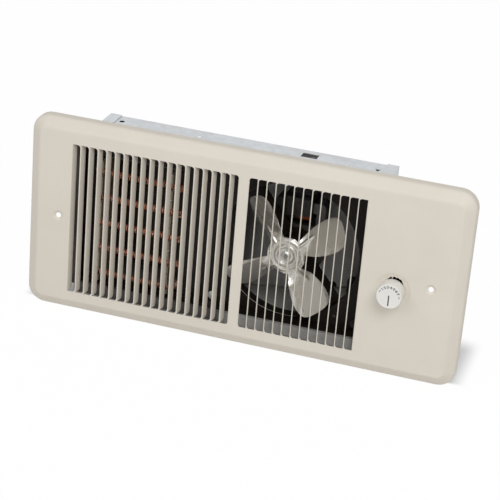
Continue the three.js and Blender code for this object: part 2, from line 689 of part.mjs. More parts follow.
// The short tube that carries the fan's opening on behind the chassis plate.
function orificeRing() {
  const backY = CHASSIS_Y + ORIFICE_LIP;
  return cut(
    rodY(ORIFICE_OUTER_R, BEHIND_CHASSIS_Y, backY, FAN_X, FAN_Z, FINE_SIDES),
    holeY(ORIFICE_R, BEHIND_CHASSIS_Y, backY, FAN_X, FAN_Z, FINE_SIDES),
  );
}

// Hex washer-head screw: its seat is at y = 0, its head on the -Y side, its shank along +Y.
function hexScrew(length) {
  const washer = rodY(SCREW_WASHER_R, -SCREW_WASHER_T, 0, 0, 0, SMALL_SIDES);
  const head = rodY(SCREW_HEAD_R, -SCREW_WASHER_T - SCREW_HEAD_H, -SCREW_WASHER_T / 2, 0, 0, 6);
  const shank = rodY(SCREW_R, -SCREW_WASHER_T / 2, length, 0, 0, SMALL_SIDES);
  return joined(washer, head, shank);
}

// ---------------------------------------------------------------- motor (about its own axis)

function screwHoles(y0, y1) {
  return [-MOTOR_SCREW_X, MOTOR_SCREW_X].map((x) => holeY(SCREW_HOLE_R, y0, y1, x, 0, SMALL_SIDES));
}

// A strap whose two legs stand on feet behind the chassis plate, with an eye round the bearing housing.
function motorBracket() {
  const footY = BEHIND_CHASSIS_Y;
  const [leg, foot] = [BRACKET_LEG_R, BRACKET_FOOT_R];
  const outline = polygon([
    [-foot, footY], [-foot, footY + BRACKET_T], [-leg - BRACKET_T, footY + BRACKET_T],
    [-leg - BRACKET_T, BRACKET_BACK_Y], [leg + BRACKET_T, BRACKET_BACK_Y],
    [leg + BRACKET_T, footY + BRACKET_T], [foot, footY + BRACKET_T], [foot, footY],
    [leg, footY], [leg, BRACKET_Y], [-leg, BRACKET_Y], [-leg, footY],
  ]);
  const strap = new THREE.ExtrudeGeometry(outline, { depth: BRACKET_W, bevelEnabled: false });
  strap.translate(0, 0, -BRACKET_W / 2).rotateY(-rad(BRACKET_ANGLE));
  const eye = rodY(BRACKET_EYE_R, BRACKET_Y, BRACKET_BACK_Y);
  const footHoles = bracketFeet().map(
    ([x, z]) => holeY(SCREW_HOLE_R, footY, footY + BRACKET_T, x, z, SMALL_SIDES),
  );
  return cut(joined(solid(strap), eye), holeY(CAP_MIDDLE_R + GAP, BRACKET_Y, BRACKET_BACK_Y), ...footHoles);
}

function motorStack() {
  const half = STACK_W / 2;
  const top = STACK_LEG_Z + STACK_LEG_H;
  const outline = roundedRectangle(STACK_W, STACK_BELOW + top, STACK_CORNER_R, 0, (top - STACK_BELOW) / 2);
  const windowHalf = half - STACK_SIDE_W;
  const window = box(
    -windowHalf, windowHalf, MOTOR_Y - OVERCUT, MOTOR_BACK_Y + OVERCUT, STACK_POLE_TOP, STACK_LEG_Z,
  );
  const bore = holeY(ROTOR_R + ROTOR_AIR_GAP, MOTOR_Y, MOTOR_BACK_Y);
  const block = solid(plateY(outline, MOTOR_Y, MOTOR_BACK_Y));
  return cut(block, window, bore, ...screwHoles(MOTOR_Y, MOTOR_BACK_Y));
}

// A band round the coil leg between two distances from it, from x0 to x1.
function coilBand(near, far, x0, x1) {
  const cy = (MOTOR_Y + MOTOR_BACK_Y) / 2;
  const cz = STACK_LEG_Z + STACK_LEG_H / 2;
  const outline = (away) => roundedRectangle(
    STACK_T + 2 * away, STACK_LEG_H + 2 * away, away * COIL_CORNER_SHARE, cy, cz,
  );
  return cut(solid(barX(outline(far), x0, x1)), solid(barX(outline(near), x0 - OVERCUT, x1 + OVERCUT)));
}

function motorBobbin() {
  const end = WINDING_HALF + BOBBIN_T;
  const flange = GAP + BOBBIN_T + WINDING_T + GAP;
  return joined(
    coilBand(GAP, GAP + BOBBIN_T, -end, end),
    coilBand(GAP, flange, -end, -WINDING_HALF),
    coilBand(GAP, flange, WINDING_HALF, end),
  );
}

function motorWinding() {
  const near = BOBBIN_T + 2 * GAP;
  const far = near + WINDING_T - WRAP_T - 2 * GAP;
  return coilBand(near, far, -WINDING_HALF + GAP, WINDING_HALF - GAP);
}

// Insulating tape over the back and top of the winding; the winding's front stays bare.
function coilWrap() {
  const far = BOBBIN_T + GAP + WINDING_T;
  const band = coilBand(far - WRAP_T, far, -WINDING_HALF + GAP, WINDING_HALF - GAP);
  const bareFront = box(-STACK_W, STACK_W, 0, MOTOR_Y - GAP, 0, 2 * STACK_W);
  const insideWindow = box(-STACK_W, STACK_W, 0, 2 * CAN_DEPTH, -STACK_W, STACK_LEG_Z);
  return cut(band, bareFront, insideWindow);
}

function bearingEars(y0, y1) {
  const reach = MOTOR_SCREW_X + SCREW_WASHER_R;
  return cut(box(-reach, reach, y0, y1, -EAR_H / 2, EAR_H / 2), ...screwHoles(y0, y1));
}

// The stepped bearing housing in front of the laminations.
function motorFrontCap() {
  const noseEnd = CAP_Y + CAP_NOSE_L;
  const steps = turned([
    [0, CAP_Y], [CAP_NOSE_R, CAP_Y], [CAP_NOSE_R, noseEnd], [CAP_MIDDLE_R, noseEnd + CAP_CHAMFER],
    [CAP_MIDDLE_R, CAP_SHOULDER_Y], [CAP_SKIRT_R, CAP_SHOULDER_Y], [CAP_SKIRT_R, CAP_BACK_Y], [0, CAP_BACK_Y],
  ]);
  const pocket = rodY(BEARING_R + GAP, CAP_Y - OVERCUT, CAP_Y + BEARING_L + GAP);
  const passage = holeY(SHAFT_R + 3 * GAP, CAP_Y, CAP_BACK_Y);
  return cut(joined(steps, bearingEars(CAP_BACK_Y - EAR_T, CAP_BACK_Y)), pocket, passage);
}

function motorRearBracket() {
  const y0 = REAR_BRACKET_Y;
  const y1 = y0 + REAR_BOSS_L;
  const boss = turned([
    [0, y0], [CAP_SKIRT_R, y0], [CAP_SKIRT_R, y0 + EAR_T],
    [REAR_BOSS_R, y0 + 2 * EAR_T], [REAR_BOSS_R, y1], [0, y1],
  ]);
  const pocket = rodY(BEARING_R + GAP, REAR_BEARING_Y - GAP, y1 + OVERCUT);
  const passage = holeY(SHAFT_R + 3 * GAP, y0, y1);
  return cut(joined(boss, bearingEars(y0, y0 + EAR_T)), pocket, passage);
}

// A round sleeve on the shaft.
function sleeve(r, y0, y1) {
  return cut(rodY(r, y0, y1), holeY(BORE_R, y0, y1));
}

function hexNut(y0) {
  return cut(rodY(NUT_R, y0, y0 + NUT_T, 0, 0, 6), holeY(SCREW_HOLE_R, y0, y0 + NUT_T, 0, 0, SMALL_SIDES));
}

// ---------------------------------------------------------------- fan (about the motor's axis)

// Radius runs with u, angle about the axis with v. The sheet leaves the hub flat and then takes
// its pitch: its edge on the clockwise side stays forward, the other edge recedes into the can.
function bladePoint(centre) {
  return (u, v) => {
    const side = 2 * v - 1;
    const r = BLADE_ROOT_R + (FAN_R - FAN_TIP_BOW * side ** 4 - BLADE_ROOT_R) * u;
    const along = Math.max(0, (r - FAN_HUB_R) / (FAN_R - FAN_HUB_R));
    const [leading, trailing] = [BLADE_LEADING, BLADE_TRAILING].map(
      (edge) => THREE.MathUtils.lerp(edge.root, edge.tip, along ** edge.bow),
    );
    const angle = THREE.MathUtils.lerp(leading, trailing, v);
    const grow = THREE.MathUtils.smoothstep(r, BLADE_ROOT_R, BLADE_ROOT_R + BLADE_RISE);
    const pitched = Math.tan(rad(FAN_PITCH)) * r * Math.sin(rad(angle));
    const bowed = FAN_CAMBER * (1 - side ** 2);
    const turn = rad(centre + angle);
    const y = FAN_Y + grow * (pitched + bowed + FAN_SET_BACK);
    return new THREE.Vector3(r * Math.cos(turn), y, r * Math.sin(turn));
  };
}

function fanBlade() {
  const [front, back] = [FAN_Y - FAN_T / 2, FAN_Y + FAN_T / 2];
  const [inner, outer] = [FAN_RING_R - FAN_RING_HALF_W, FAN_RING_R + FAN_RING_HALF_W];
  const [foot, top] = [FAN_RING_SLOPE, FAN_RING_HEIGHT];
  const under = FAN_T / 2;
  const disc = turned([
    [0, front], [inner - foot, front], [inner, front - top], [outer, front - top],
    [outer + foot, front], [FAN_HUB_R, front], [FAN_HUB_R, back], [outer + foot - under, back],
    [outer - under, back - top], [inner + under, back - top], [inner - foot + under, back], [0, back],
  ]);
  const blades = Array.from(
    { length: FAN_BLADES },
    (_, i) => sheet(bladePoint(FAN_PHASE + i * 360 / FAN_BLADES), 8, 6, FAN_T),
  );
  return cut(joined(disc, ...blades), holeY(BORE_R, front - FAN_RING_HEIGHT, back));
}

function fanHub() {
  const y0 = FAN_Y + FAN_T / 2 + GAP;
  const y1 = y0 + HUB_L;
  const flangeY = y0 + HUB_FLANGE_T;
  const bush = turned([
    [0, y0], [HUB_FLANGE_R, y0], [HUB_FLANGE_R, flangeY], [HUB_R, flangeY], [HUB_R, y1], [0, y1],
  ]);
  return cut(bush, holeY(BORE_R, y0, y1));
}

function fanPushNut() {
  const y1 = FAN_Y - FAN_T / 2 - GAP;
  const y0 = y1 - PUSH_NUT_T;
  const nut = turned([
    [0, y0], [PUSH_NUT_NOSE_R, y0], [PUSH_NUT_R, y1 - PUSH_NUT_T / 4], [PUSH_NUT_R, y1], [0, y1],
  ]);
  return cut(nut, holeY(BORE_R, y0, y1));
}

// ---------------------------------------------------------------- heating element

function smoothCurve(points) {
  const places = points.map((point) => new THREE.Vector3(...point));
  return new THREE.CatmullRomCurve3(places, false, 'catmullrom', CURVE_TENSION);
}

function tubeAlong(points, r, sides, steps) {
  const section = polygon(Array.from({ length: sides }, (_, i) => {
    const turn = 2 * Math.PI * i / sides;
    return [r * Math.cos(turn), r * Math.sin(turn)];
  }));
  return new THREE.ExtrudeGeometry(section, { steps, extrudePath: smoothCurve(points), bevelEnabled: false });
}

// The coil crosses in front, rounds the right board, returns behind, rounds the left board, and so on.
// Its two ends turn back to the terminals behind the chassis plate.
function coilRoute() {
  const middle = (BOARD_LEFT_X + BOARD_RIGHT_X) / 2;
  const past = BOARD_T;
  const round = COIL_BEND / 2;
  const endY = TERMINAL_Y - GAP;
  const points = [[COIL_LEFT_X, endY, COIL_TOP_Z + COIL_SLANT]];
  for (let row = 0; row < COIL_ROWS; row += 1) {
    const z = COIL_TOP_Z - row * COIL_ROW_PITCH;
    const backZ = z - COIL_ROW_PITCH / 2;
    points.push([COIL_LEFT_X, COIL_FRONT_Y + round, z + COIL_SLANT]);
    points.push([BOARD_LEFT_X - past, COIL_FRONT_Y, z + COIL_SLANT]);
    points.push([BOARD_LEFT_X + past, COIL_FRONT_Y, z + COIL_SLANT]);
    points.push([middle, COIL_FRONT_Y, z]);
    points.push([BOARD_RIGHT_X - past, COIL_FRONT_Y, z - COIL_SLANT]);
    points.push([BOARD_RIGHT_X + past, COIL_FRONT_Y, z - COIL_SLANT]);
    points.push([COIL_RIGHT_X, COIL_FRONT_Y + round, z - COIL_SLANT]);
    if (row < COIL_ROWS - 1) {
      points.push([COIL_RIGHT_X, COIL_BACK_Y - round, backZ]);
      points.push([BOARD_RIGHT_X + past, COIL_BACK_Y, backZ], [BOARD_RIGHT_X - past, COIL_BACK_Y, backZ]);
      points.push([BOARD_LEFT_X + past, COIL_BACK_Y, backZ], [BOARD_LEFT_X - past, COIL_BACK_Y, backZ]);
      points.push([COIL_LEFT_X, COIL_BACK_Y - round, backZ]);
    }
  }
  points.push([COIL_RIGHT_X, endY, COIL_LAST_Z - COIL_SLANT]);
  return points;
}

// A slotted board: the coil lies in notches open to its front and back edges.
function elementBoard(x, slant) {
  const [left, right] = [x - BOARD_T / 2, x + BOARD_T / 2];
  const board = box(left, right, BOARD_FRONT_Y, BOARD_BACK_Y, BOARD_BOTTOM_Z, BOARD_TOP_Z);
  const clear = COIL_R + NOTCH_CLEARANCE;
  const notch = (y0, y1, z) => box(left - OVERCUT, right + OVERCUT, y0, y1, z - clear, z + clear);
  const notches = [];
  for (let row = 0; row < COIL_ROWS; row += 1) {
    const z = COIL_TOP_Z - row * COIL_ROW_PITCH;
    notches.push(notch(BOARD_FRONT_Y - OVERCUT, COIL_FRONT_Y + clear, z + slant));
    if (row < COIL_ROWS - 1) {
      notches.push(notch(COIL_BACK_Y - clear, BOARD_BACK_Y + OVERCUT, z - COIL_ROW_PITCH / 2));
    }
  }
  return cut(board, ...notches);
}

// An angle that ties the two boards together and meets the back of the chassis plate.
function elementRail(up) {
  const seatZ = up > 0 ? BOARD_TOP_Z + GAP : BOARD_BOTTOM_Z - GAP;
  const legZ = up > 0 ? seatZ + ELEMENT_RAIL_LEG : seatZ - ELEMENT_RAIL_T;
  const ends = [BOARD_LEFT_X - BOARD_T, BOARD_RIGHT_X + BOARD_T];
  const strip = box(...ends, BEHIND_CHASSIS_Y, BOARD_BACK_Y, seatZ, seatZ + up * ELEMENT_RAIL_T);
  const leg = box(...ends, BEHIND_CHASSIS_Y, BEHIND_CHASSIS_Y + ELEMENT_RAIL_T, seatZ, legZ);
  return joined(strip, leg);
}

// An angle on a board's outer face; the coil's end meets its arm.
function elementTerminal(side) {
  const face = (side < 0 ? BOARD_LEFT_X : BOARD_RIGHT_X) + side * (BOARD_T / 2 + GAP);
  const z = side < 0 ? COIL_TOP_Z + COIL_SLANT : COIL_LAST_Z - COIL_SLANT;
  const armEnd = face + side * (COIL_BEND + COIL_R - BOARD_T / 2);
  const half = TERMINAL_W / 2;
  const arm = box(face, armEnd, TERMINAL_Y, TERMINAL_Y + TERMINAL_T, z - half, z + half);
  const foot = box(face, face + side * TERMINAL_T, TERMINAL_Y, TERMINAL_Y + TERMINAL_L, z - half, z + half);
  return joined(arm, foot);
}

// A bright sheet behind the element, standing on two legs off the can's back.
function rearReflector() {
  const backY = CAN_BACK_INNER_Y - GAP;
  const half = REFLECTOR_HALF_H;
  return cut(
    box(REFLECTOR_X0, REFLECTOR_X1, REFLECTOR_Y, backY, -half, half),
    box(
      REFLECTOR_X0 + REFLECTOR_T, REFLECTOR_X1 - REFLECTOR_T, REFLECTOR_Y + REFLECTOR_T, backY + OVERCUT,
      -half - OVERCUT, half + OVERCUT,
    ),
  );
}

// ---------------------------------------------------------------- over-temperature cut-out

function limitBracket() {
  const half = LIMIT_BRACKET_W / 2;
  const footY = BEHIND_CHASSIS_Y;
  const armX = [LIMIT_X, LIMIT_X + LIMIT_BRACKET_T];
  const widthZ = [LIMIT_Z - half, LIMIT_Z + half];
  const foot = box(LIMIT_X, LIMIT_X + LIMIT_FOOT, footY, footY + LIMIT_BRACKET_T, ...widthZ);
  const arm = box(...armX, footY, LIMIT_Y + half, ...widthZ);
  const hole = rodX(LIMIT_CAP_R - 2 * GAP, armX[0] - OVERCUT, armX[1] + OVERCUT, LIMIT_Y, LIMIT_Z);
  return cut(joined(foot, arm), hole);
}

function limitBody() {
  const x0 = LIMIT_X + LIMIT_BRACKET_T + GAP;
  return rodX(LIMIT_R, x0, x0 + LIMIT_L, LIMIT_Y, LIMIT_Z);
}

function limitCap() {
  const x1 = LIMIT_X - GAP;
  return rodX(LIMIT_CAP_R, x1 - LIMIT_CAP_L, x1, LIMIT_Y, LIMIT_Z);
}

// ---------------------------------------------------------------- control box, thermostat and knob

function controlBox() {
  const shell = cut(
    box(CONTROL_LEFT_X, CONTROL_RIGHT_X, GAP, CONTROL_DEPTH, CONTROL_BOTTOM_Z, CONTROL_TOP_Z),
    box(
      CONTROL_LEFT_X + CONTROL_T, CONTROL_RIGHT_X - CONTROL_T, GAP - OVERCUT, CONTROL_DEPTH - CONTROL_T,
      CONTROL_BOTTOM_Z + CONTROL_T, CONTROL_TOP_Z - CONTROL_T,
    ),
  );
  const bushingHole = rodX(
    BUSHING_R + GAP, CONTROL_LEFT_X - OVERCUT, CONTROL_LEFT_X + CONTROL_T + OVERCUT, BUSHING_Y, BUSHING_Z,
  );
  return cut(shell, bushingHole);
}

// The panel's lips fit inside the box's walls.
function controlPanel() {
  const fit = CONTROL_T + GAP;
  const x1 = CONTROL_RIGHT_X - fit;
  const [z0, z1] = [CONTROL_BOTTOM_Z + fit, CONTROL_TOP_Z - fit];
  const lipY = PANEL_Y + PANEL_LIP;
  const tray = cut(
    box(PANEL_X0, x1, PANEL_Y, lipY, z0, z1),
    box(PANEL_X0 - OVERCUT, x1 - PANEL_T, PANEL_BACK_Y, lipY + OVERCUT, z0 + PANEL_T, z1 - PANEL_T),
  );
  return cut(tray, holeY(THERMOSTAT_NECK_R + GAP, PANEL_Y, PANEL_BACK_Y, KNOB_X, KNOB_Z));
}

// Pieces from here on are about the knob's axis.
function thermostatBody() {
  const [w, h] = [THERMOSTAT_W / 2, THERMOSTAT_H / 2];
  const neckY = THERMOSTAT_NUT_Y - GAP;
  const body = box(-w, w, THERMOSTAT_Y, THERMOSTAT_BACK_Y, -h, h);
  const neck = rodY(THERMOSTAT_NECK_R, neckY, THERMOSTAT_Y + OVERCUT);
  const bore = rodY(SPINDLE_R + GAP, neckY - OVERCUT, THERMOSTAT_Y + SPINDLE_R + GAP);
  return cut(joined(body, neck), bore);
}

function thermostatNut() {
  const y1 = THERMOSTAT_NUT_Y + THERMOSTAT_NUT_T;
  return cut(
    rodY(THERMOSTAT_NUT_R, THERMOSTAT_NUT_Y, y1, 0, 0, 6),
    holeY(THERMOSTAT_NECK_R + GAP, THERMOSTAT_NUT_Y, y1),
  );
}

function thermostatSpindle() {
  return rodY(SPINDLE_R, KNOB_BACK_Y - SPINDLE_GRIP, THERMOSTAT_Y + SPINDLE_R);
}

// The knob is hollow behind its face, with a socket for the spindle and a groove for a pointer.
function knob() {
  const faceBackY = KNOB_FACE_Y + 2 * KNOB_WALL;
  const skin = turned([
    [0, KNOB_FACE_Y], [KNOB_R - KNOB_EDGE, KNOB_FACE_Y], [KNOB_R, KNOB_FACE_Y + KNOB_EDGE],
    [KNOB_R, KNOB_BACK_Y], [KNOB_R - KNOB_WALL, KNOB_BACK_Y], [KNOB_R - KNOB_WALL, faceBackY], [0, faceBackY],
  ], KNOB_SIDES);
  const socket = rodY(KNOB_SOCKET_R, faceBackY - KNOB_WALL, KNOB_BACK_Y);
  const bore = rodY(SPINDLE_R + GAP, KNOB_BACK_Y - SPINDLE_GRIP - GAP, KNOB_BACK_Y + OVERCUT);
  const half = POINTER_W / 2;
  const groove = box(
    -half, half, KNOB_FACE_Y - OVERCUT, KNOB_FACE_Y + POINTER_DEPTH, -KNOB_R + 2 * KNOB_EDGE, 0,
  );
  return cut(joined(skin, socket), bore, groove);
}

// ---------------------------------------------------------------- wiring

function wireBushing() {
  const wallX = CAN_RIGHT_X - GAP;
  const flange = rodX(BUSHING_FLANGE_R, wallX - BUSHING_FLANGE_T, wallX, BUSHING_Y, BUSHING_Z);
  const barrel = rodX(BUSHING_R, wallX - GAP, wallX + BUSHING_L, BUSHING_Y, BUSHING_Z);
  const bore = rodX(
    BUSHING_BORE_R, wallX - BUSHING_FLANGE_T - OVERCUT, wallX + BUSHING_L + OVERCUT, BUSHING_Y, BUSHING_Z,
  );
  return cut(joined(flange, barrel), bore);
}

function terminalBlock() {
  const [w, h] = [BLOCK.w / 2, BLOCK.h / 2];
  const block = box(BLOCK.x - w, BLOCK.x + w, BLOCK_Y, BLOCK_BACK_Y, BLOCK.z - h, BLOCK.z + h);
  const grooves = [-1, 1].map((k) => box(
    BLOCK.x + k * w / 3 - GAP, BLOCK.x + k * w / 3 + GAP, BLOCK_Y - OVERCUT, BLOCK_Y + BLOCK.d / 3,
    BLOCK.z - h - OVERCUT, BLOCK.z + h + OVERCUT,
  ));
  return cut(block, ...grooves);
}

// The two points at a lead's end: its connection, and the end of its straight stub.
function leadEnd(point, stub) {
  return [point, point.map((place, k) => place + LEAD_STUB * stub[k])];
}

// Each lead: its colour and the points it passes, from one connection to the other.
const LEADS = {
  lead_supply: {
    material: 'leadBlack',
    points: [
      ...leadEnd([BLOCK.x + BLOCK.w / 3, BLOCK_Y - GAP, BLOCK.z], [0, -1, 0]),
      [126, 66, -58], [128, 54, -28], [132, 40, 0],
      [138, BUSHING_Y, BUSHING_Z - LEAD_SPREAD], [145, BUSHING_Y, BUSHING_Z - LEAD_SPREAD],
      [156, 33, 6], ...leadEnd([162, THERMOSTAT_BACK_Y + GAP, -4], [0, 1, 0]).reverse(),
    ],
  },
  lead_thermostat: {
    material: 'leadRed',
    points: [
      ...leadEnd([178, THERMOSTAT_BACK_Y + GAP, -4], [0, 1, 0]), [169, 38, 6],
      [154, 39, BUSHING_Z + LEAD_SPREAD], [145, BUSHING_Y, BUSHING_Z + LEAD_SPREAD],
      [138, BUSHING_Y, BUSHING_Z + LEAD_SPREAD], [130, 43, 22], [118, 60, 46], [92, 68, 68],
      [46, 68, 75], [0, 62, 74], [-32, 50, 67],
      ...leadEnd([LIMIT_BACK_X, LIMIT_Y, LIMIT_Z + LEAD_PAIR_Z], [1, 0, 0]).reverse(),
    ],
  },
  lead_element_top: {
    material: 'leadRed',
    points: [
      ...leadEnd([LIMIT_BACK_X, LIMIT_Y, LIMIT_Z - LEAD_PAIR_Z], [1, 0, 0]), [-50, 44, 49],
      [-54, 57, 53], [-70, 63, 66], [-100, 64, 72], [-150, 64, 72], [-176, 58, 68], [-186, 44, 56],
      ...leadEnd([LEFT_TERMINAL_X, TERMINAL_MID_Y, COIL_TOP_Z], [-1, 0, 0]).reverse(),
    ],
  },
  lead_element_bottom: {
    material: 'leadWhite',
    points: [
      ...leadEnd([RIGHT_TERMINAL_X, TERMINAL_MID_Y, COIL_LAST_Z], [1, 0, 0]),
      [-60, 46, -74], [0, 68, -76], [60, 80, -74],
      ...leadEnd([BLOCK.x - BLOCK.w / 2 - GAP, BLOCK_LEAD_Y, BLOCK.z], [-1, 0, 0]).reverse(),
    ],
  },
  lead_motor: {
    material: 'leadWhite',
    points: [
      ...leadEnd([MOTOR_LEAD_X, MOTOR_LEAD_Y, 50], [1, 0, 0]), [98, 77, 22], [113, 80, -16],
      ...leadEnd([113, BLOCK_LEAD_Y, BLOCK.z + BLOCK.h / 2 + GAP], [0, 0, 1]).reverse(),
    ],
  },
};

// A step every three diameters or so.
function leadTube(points) {
  const steps = Math.ceil(smoothCurve(points).getLength() / (6 * LEAD_R));
  return tubeAlong(points, LEAD_R, LEAD_SIDES, steps);
}

// ---------------------------------------------------------------- the assembly

const heater = new THREE.Group();
const motorGroup = new THREE.Group();
const knobGroup = new THREE.Group();
motorGroup.position.set(FAN_X, 0, FAN_Z);
knobGroup.position.set(KNOB_X, 0, KNOB_Z);
heater.add(motorGroup, knobGroup);

function addPart(name, piece, material, parent = heater) {
  const mesh = new THREE.Mesh(geometryOf(piece), new THREE.MeshStandardMaterial(MATERIALS[material]));
  mesh.name = name;
  parent.add(mesh);
  return mesh;
}

function addCoverAndCan() {
  addPart('front_cover', frontCover(), 'enamel');
  addPart('cover_rim', coverRim(), 'enamel');
  addPart('cover_spacer_left', coverSpacer(-1), 'galvanised');
  addPart('cover_spacer_right', coverSpacer(1), 'galvanised');
  addPart('wall_can', canWrapper(), 'galvanised');
  addPart('can_end_left', canEnd(-1), 'galvanised');
  addPart('can_end_right', canEnd(1), 'galvanised');
  addPart('can_rail_top', canRail(1), 'galvanised');
  addPart('can_rail_bottom', canRail(-1), 'galvanised');
}

function addChassis() {
  addPart('chassis_plate', chassisPlate(), 'blackSteel');
  addPart('orifice_ring', orificeRing(), 'blackSteel');
  const places = CHASSIS_SCREW_XS.flatMap((x) => [[x, CHASSIS_SCREW_Z], [x, -CHASSIS_SCREW_Z]]);
  const length = CHASSIS_T + RAIL_T + 2 * GAP + SCREW_PROUD;
  places.forEach(([x, z], i) => {
    const screw = addPart(`chassis_screw_${i + 1}`, hexScrew(length), 'zinc');
    screw.position.set(x, CHASSIS_Y - GAP, z);
  });
}

function addMotor() {
  addPart('motor_bracket', motorBracket(), 'blackSteel', motorGroup);
  addPart('motor_stack', motorStack(), 'laminations', motorGroup);
  addPart('motor_bobbin', motorBobbin(), 'blackPlastic', motorGroup);
  addPart('motor_winding', motorWinding(), 'copper', motorGroup);
  addPart('coil_wrap', coilWrap(), 'blackPlastic', motorGroup);
  addPart('motor_front_cap', motorFrontCap(), 'blackSteel', motorGroup);
  addPart('motor_rear_bracket', motorRearBracket(), 'zinc', motorGroup);
  addPart('front_bearing', sleeve(BEARING_R, CAP_Y, CAP_Y + BEARING_L), 'bronze', motorGroup);
  const rearBearing = sleeve(BEARING_R, REAR_BEARING_Y, REAR_BEARING_Y + BEARING_L);
  addPart('rear_bearing', rearBearing, 'bronze', motorGroup);
  addPart('motor_rotor', sleeve(ROTOR_R, MOTOR_Y + GAP, MOTOR_BACK_Y - GAP), 'laminations', motorGroup);
  const shaftStart = FAN_Y - FAN_T / 2 - GAP - PUSH_NUT_T - GAP;
  const shaftEnd = REAR_BEARING_Y + BEARING_L + SHAFT_PROUD;
  addPart('motor_shaft', rodY(SHAFT_R, shaftStart, shaftEnd), 'shaftSteel', motorGroup);
  const screwSeat = CAP_BACK_Y - EAR_T - GAP;
  const nutY = REAR_BRACKET_Y + EAR_T + GAP;
  const screwLength = nutY + NUT_T + SCREW_PROUD - screwSeat;
  [-MOTOR_SCREW_X, MOTOR_SCREW_X].forEach((x, i) => {
    const screw = addPart(`motor_screw_${i + 1}`, hexScrew(screwLength), 'zinc', motorGroup);
    screw.position.set(x, screwSeat, 0);
    addPart(`motor_nut_${i + 1}`, hexNut(nutY), 'zinc', motorGroup).position.x = x;
  });
  bracketFeet().forEach(([x, z], i) => {
    const length = BRACKET_T + CHASSIS_T + 2 * GAP + SCREW_PROUD;
    const screw = addPart(`bracket_screw_${i + 1}`, hexScrew(length), 'zinc', motorGroup);
    screw.rotation.z = Math.PI;
    screw.position.set(x, BEHIND_CHASSIS_Y + BRACKET_T + GAP, z);
  });
}

function addFan() {
  addPart('fan_blade', fanBlade(), 'aluminium', motorGroup);
  addPart('fan_hub', fanHub(), 'zinc', motorGroup);
  addPart('fan_push_nut', fanPushNut(), 'zinc', motorGroup);
}

function addElement() {
  addPart('heating_coil', tubeAlong(coilRoute(), COIL_R, COIL_SIDES, COIL_STEPS), 'resistance');
  addPart('element_board_left', elementBoard(BOARD_LEFT_X, COIL_SLANT), 'board');
  addPart('element_board_right', elementBoard(BOARD_RIGHT_X, -COIL_SLANT), 'board');
  addPart('element_rail_top', elementRail(1), 'galvanised');
  addPart('element_rail_bottom', elementRail(-1), 'galvanised');
  addPart('element_terminal_top', elementTerminal(-1), 'zinc');
  addPart('element_terminal_bottom', elementTerminal(1), 'zinc');
  addPart('rear_reflector', rearReflector(), 'aluminium');
  addPart('limit_bracket', limitBracket(), 'galvanised');
  addPart('limit_switch_body', limitBody(), 'blackPlastic');
  addPart('limit_switch_cap', limitCap(), 'aluminium');
}

function addControls() {
  addPart('control_box', controlBox(), 'galvanised');
  addPart('control_panel', controlPanel(), 'blackSteel');
  addPart('thermostat_body', thermostatBody(), 'blackPlastic', knobGroup);
  addPart('thermostat_nut', thermostatNut(), 'zinc', knobGroup);
  addPart('thermostat_spindle', thermostatSpindle(), 'zinc', knobGroup);
  addPart('knob', knob(), 'whitePlastic', knobGroup);
}

function addWiring() {
  addPart('wire_bushing', wireBushing(), 'blackPlastic');
  addPart('terminal_block', terminalBlock(), 'blackPlastic');
  const ground = addPart('ground_screw', hexScrew(CAN_T), 'greenZinc');
  ground.position.set(GROUND_SCREW_X, CAN_BACK_INNER_Y - GAP, GROUND_SCREW_Z);
  for (const [name, lead] of Object.entries(LEADS)) {
    addPart(name, leadTube(lead.points), lead.material);
  }
}

addCoverAndCan();
addChassis();
addMotor();
addFan();
addElement();
addControls();
addWiring();

export default heater;
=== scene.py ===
"""Recessed wall fan heater: its fine surfaces, its finishes and its stage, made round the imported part.

Metres and degrees. +X runs to the right along the wall, +Y into the wall, +Z up; the cover faces -Y.
"""

import json
import math

import bmesh
import bpy
import numpy as np
from bpy.props import FloatProperty, FloatVectorProperty, IntProperty, PointerProperty
from mathutils import Matrix, Vector
from mathutils.geometry import delaunay_2d_cdt


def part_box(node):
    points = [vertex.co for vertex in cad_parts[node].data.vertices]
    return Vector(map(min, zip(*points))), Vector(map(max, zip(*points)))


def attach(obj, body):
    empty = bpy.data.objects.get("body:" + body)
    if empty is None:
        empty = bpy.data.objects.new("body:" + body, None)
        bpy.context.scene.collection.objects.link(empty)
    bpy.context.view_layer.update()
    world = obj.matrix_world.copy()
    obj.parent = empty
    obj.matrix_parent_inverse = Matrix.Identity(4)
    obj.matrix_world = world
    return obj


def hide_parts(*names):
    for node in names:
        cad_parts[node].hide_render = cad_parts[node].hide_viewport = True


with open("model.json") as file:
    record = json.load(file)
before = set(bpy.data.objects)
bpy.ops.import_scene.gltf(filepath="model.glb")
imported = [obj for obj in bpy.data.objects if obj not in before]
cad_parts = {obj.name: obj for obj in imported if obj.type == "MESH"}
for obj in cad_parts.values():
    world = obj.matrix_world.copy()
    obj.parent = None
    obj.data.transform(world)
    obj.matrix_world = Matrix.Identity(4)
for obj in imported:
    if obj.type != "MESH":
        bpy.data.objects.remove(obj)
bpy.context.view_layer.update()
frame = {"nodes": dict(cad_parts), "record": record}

bl_info = {
    "name": "Wall Fan Heater",
    "version": (1, 0, 0),
    "blender": (4, 5, 0),
    "location": "View3D > Sidebar > Heater",
    "description": "Makes a recessed wall fan heater's fine surfaces, finishes and stage",
    "category": "Object",
}

MM = 0.001
STILL_BODY = "heater_frame"
FAN_BODY = "fan_assembly"
KNOB_BODY = "knob_assembly"
SHARP_ANGLE = math.radians(35)
MERGE_DISTANCE = 1e-6


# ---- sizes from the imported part


def corners(node):
    """A node's lowest and highest corners as arrays."""
    low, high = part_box(node)
    return np.array(low), np.array(high)


def middle(node):
    """The middle of a node's box."""
    low, high = corners(node)
    return (low + high) / 2


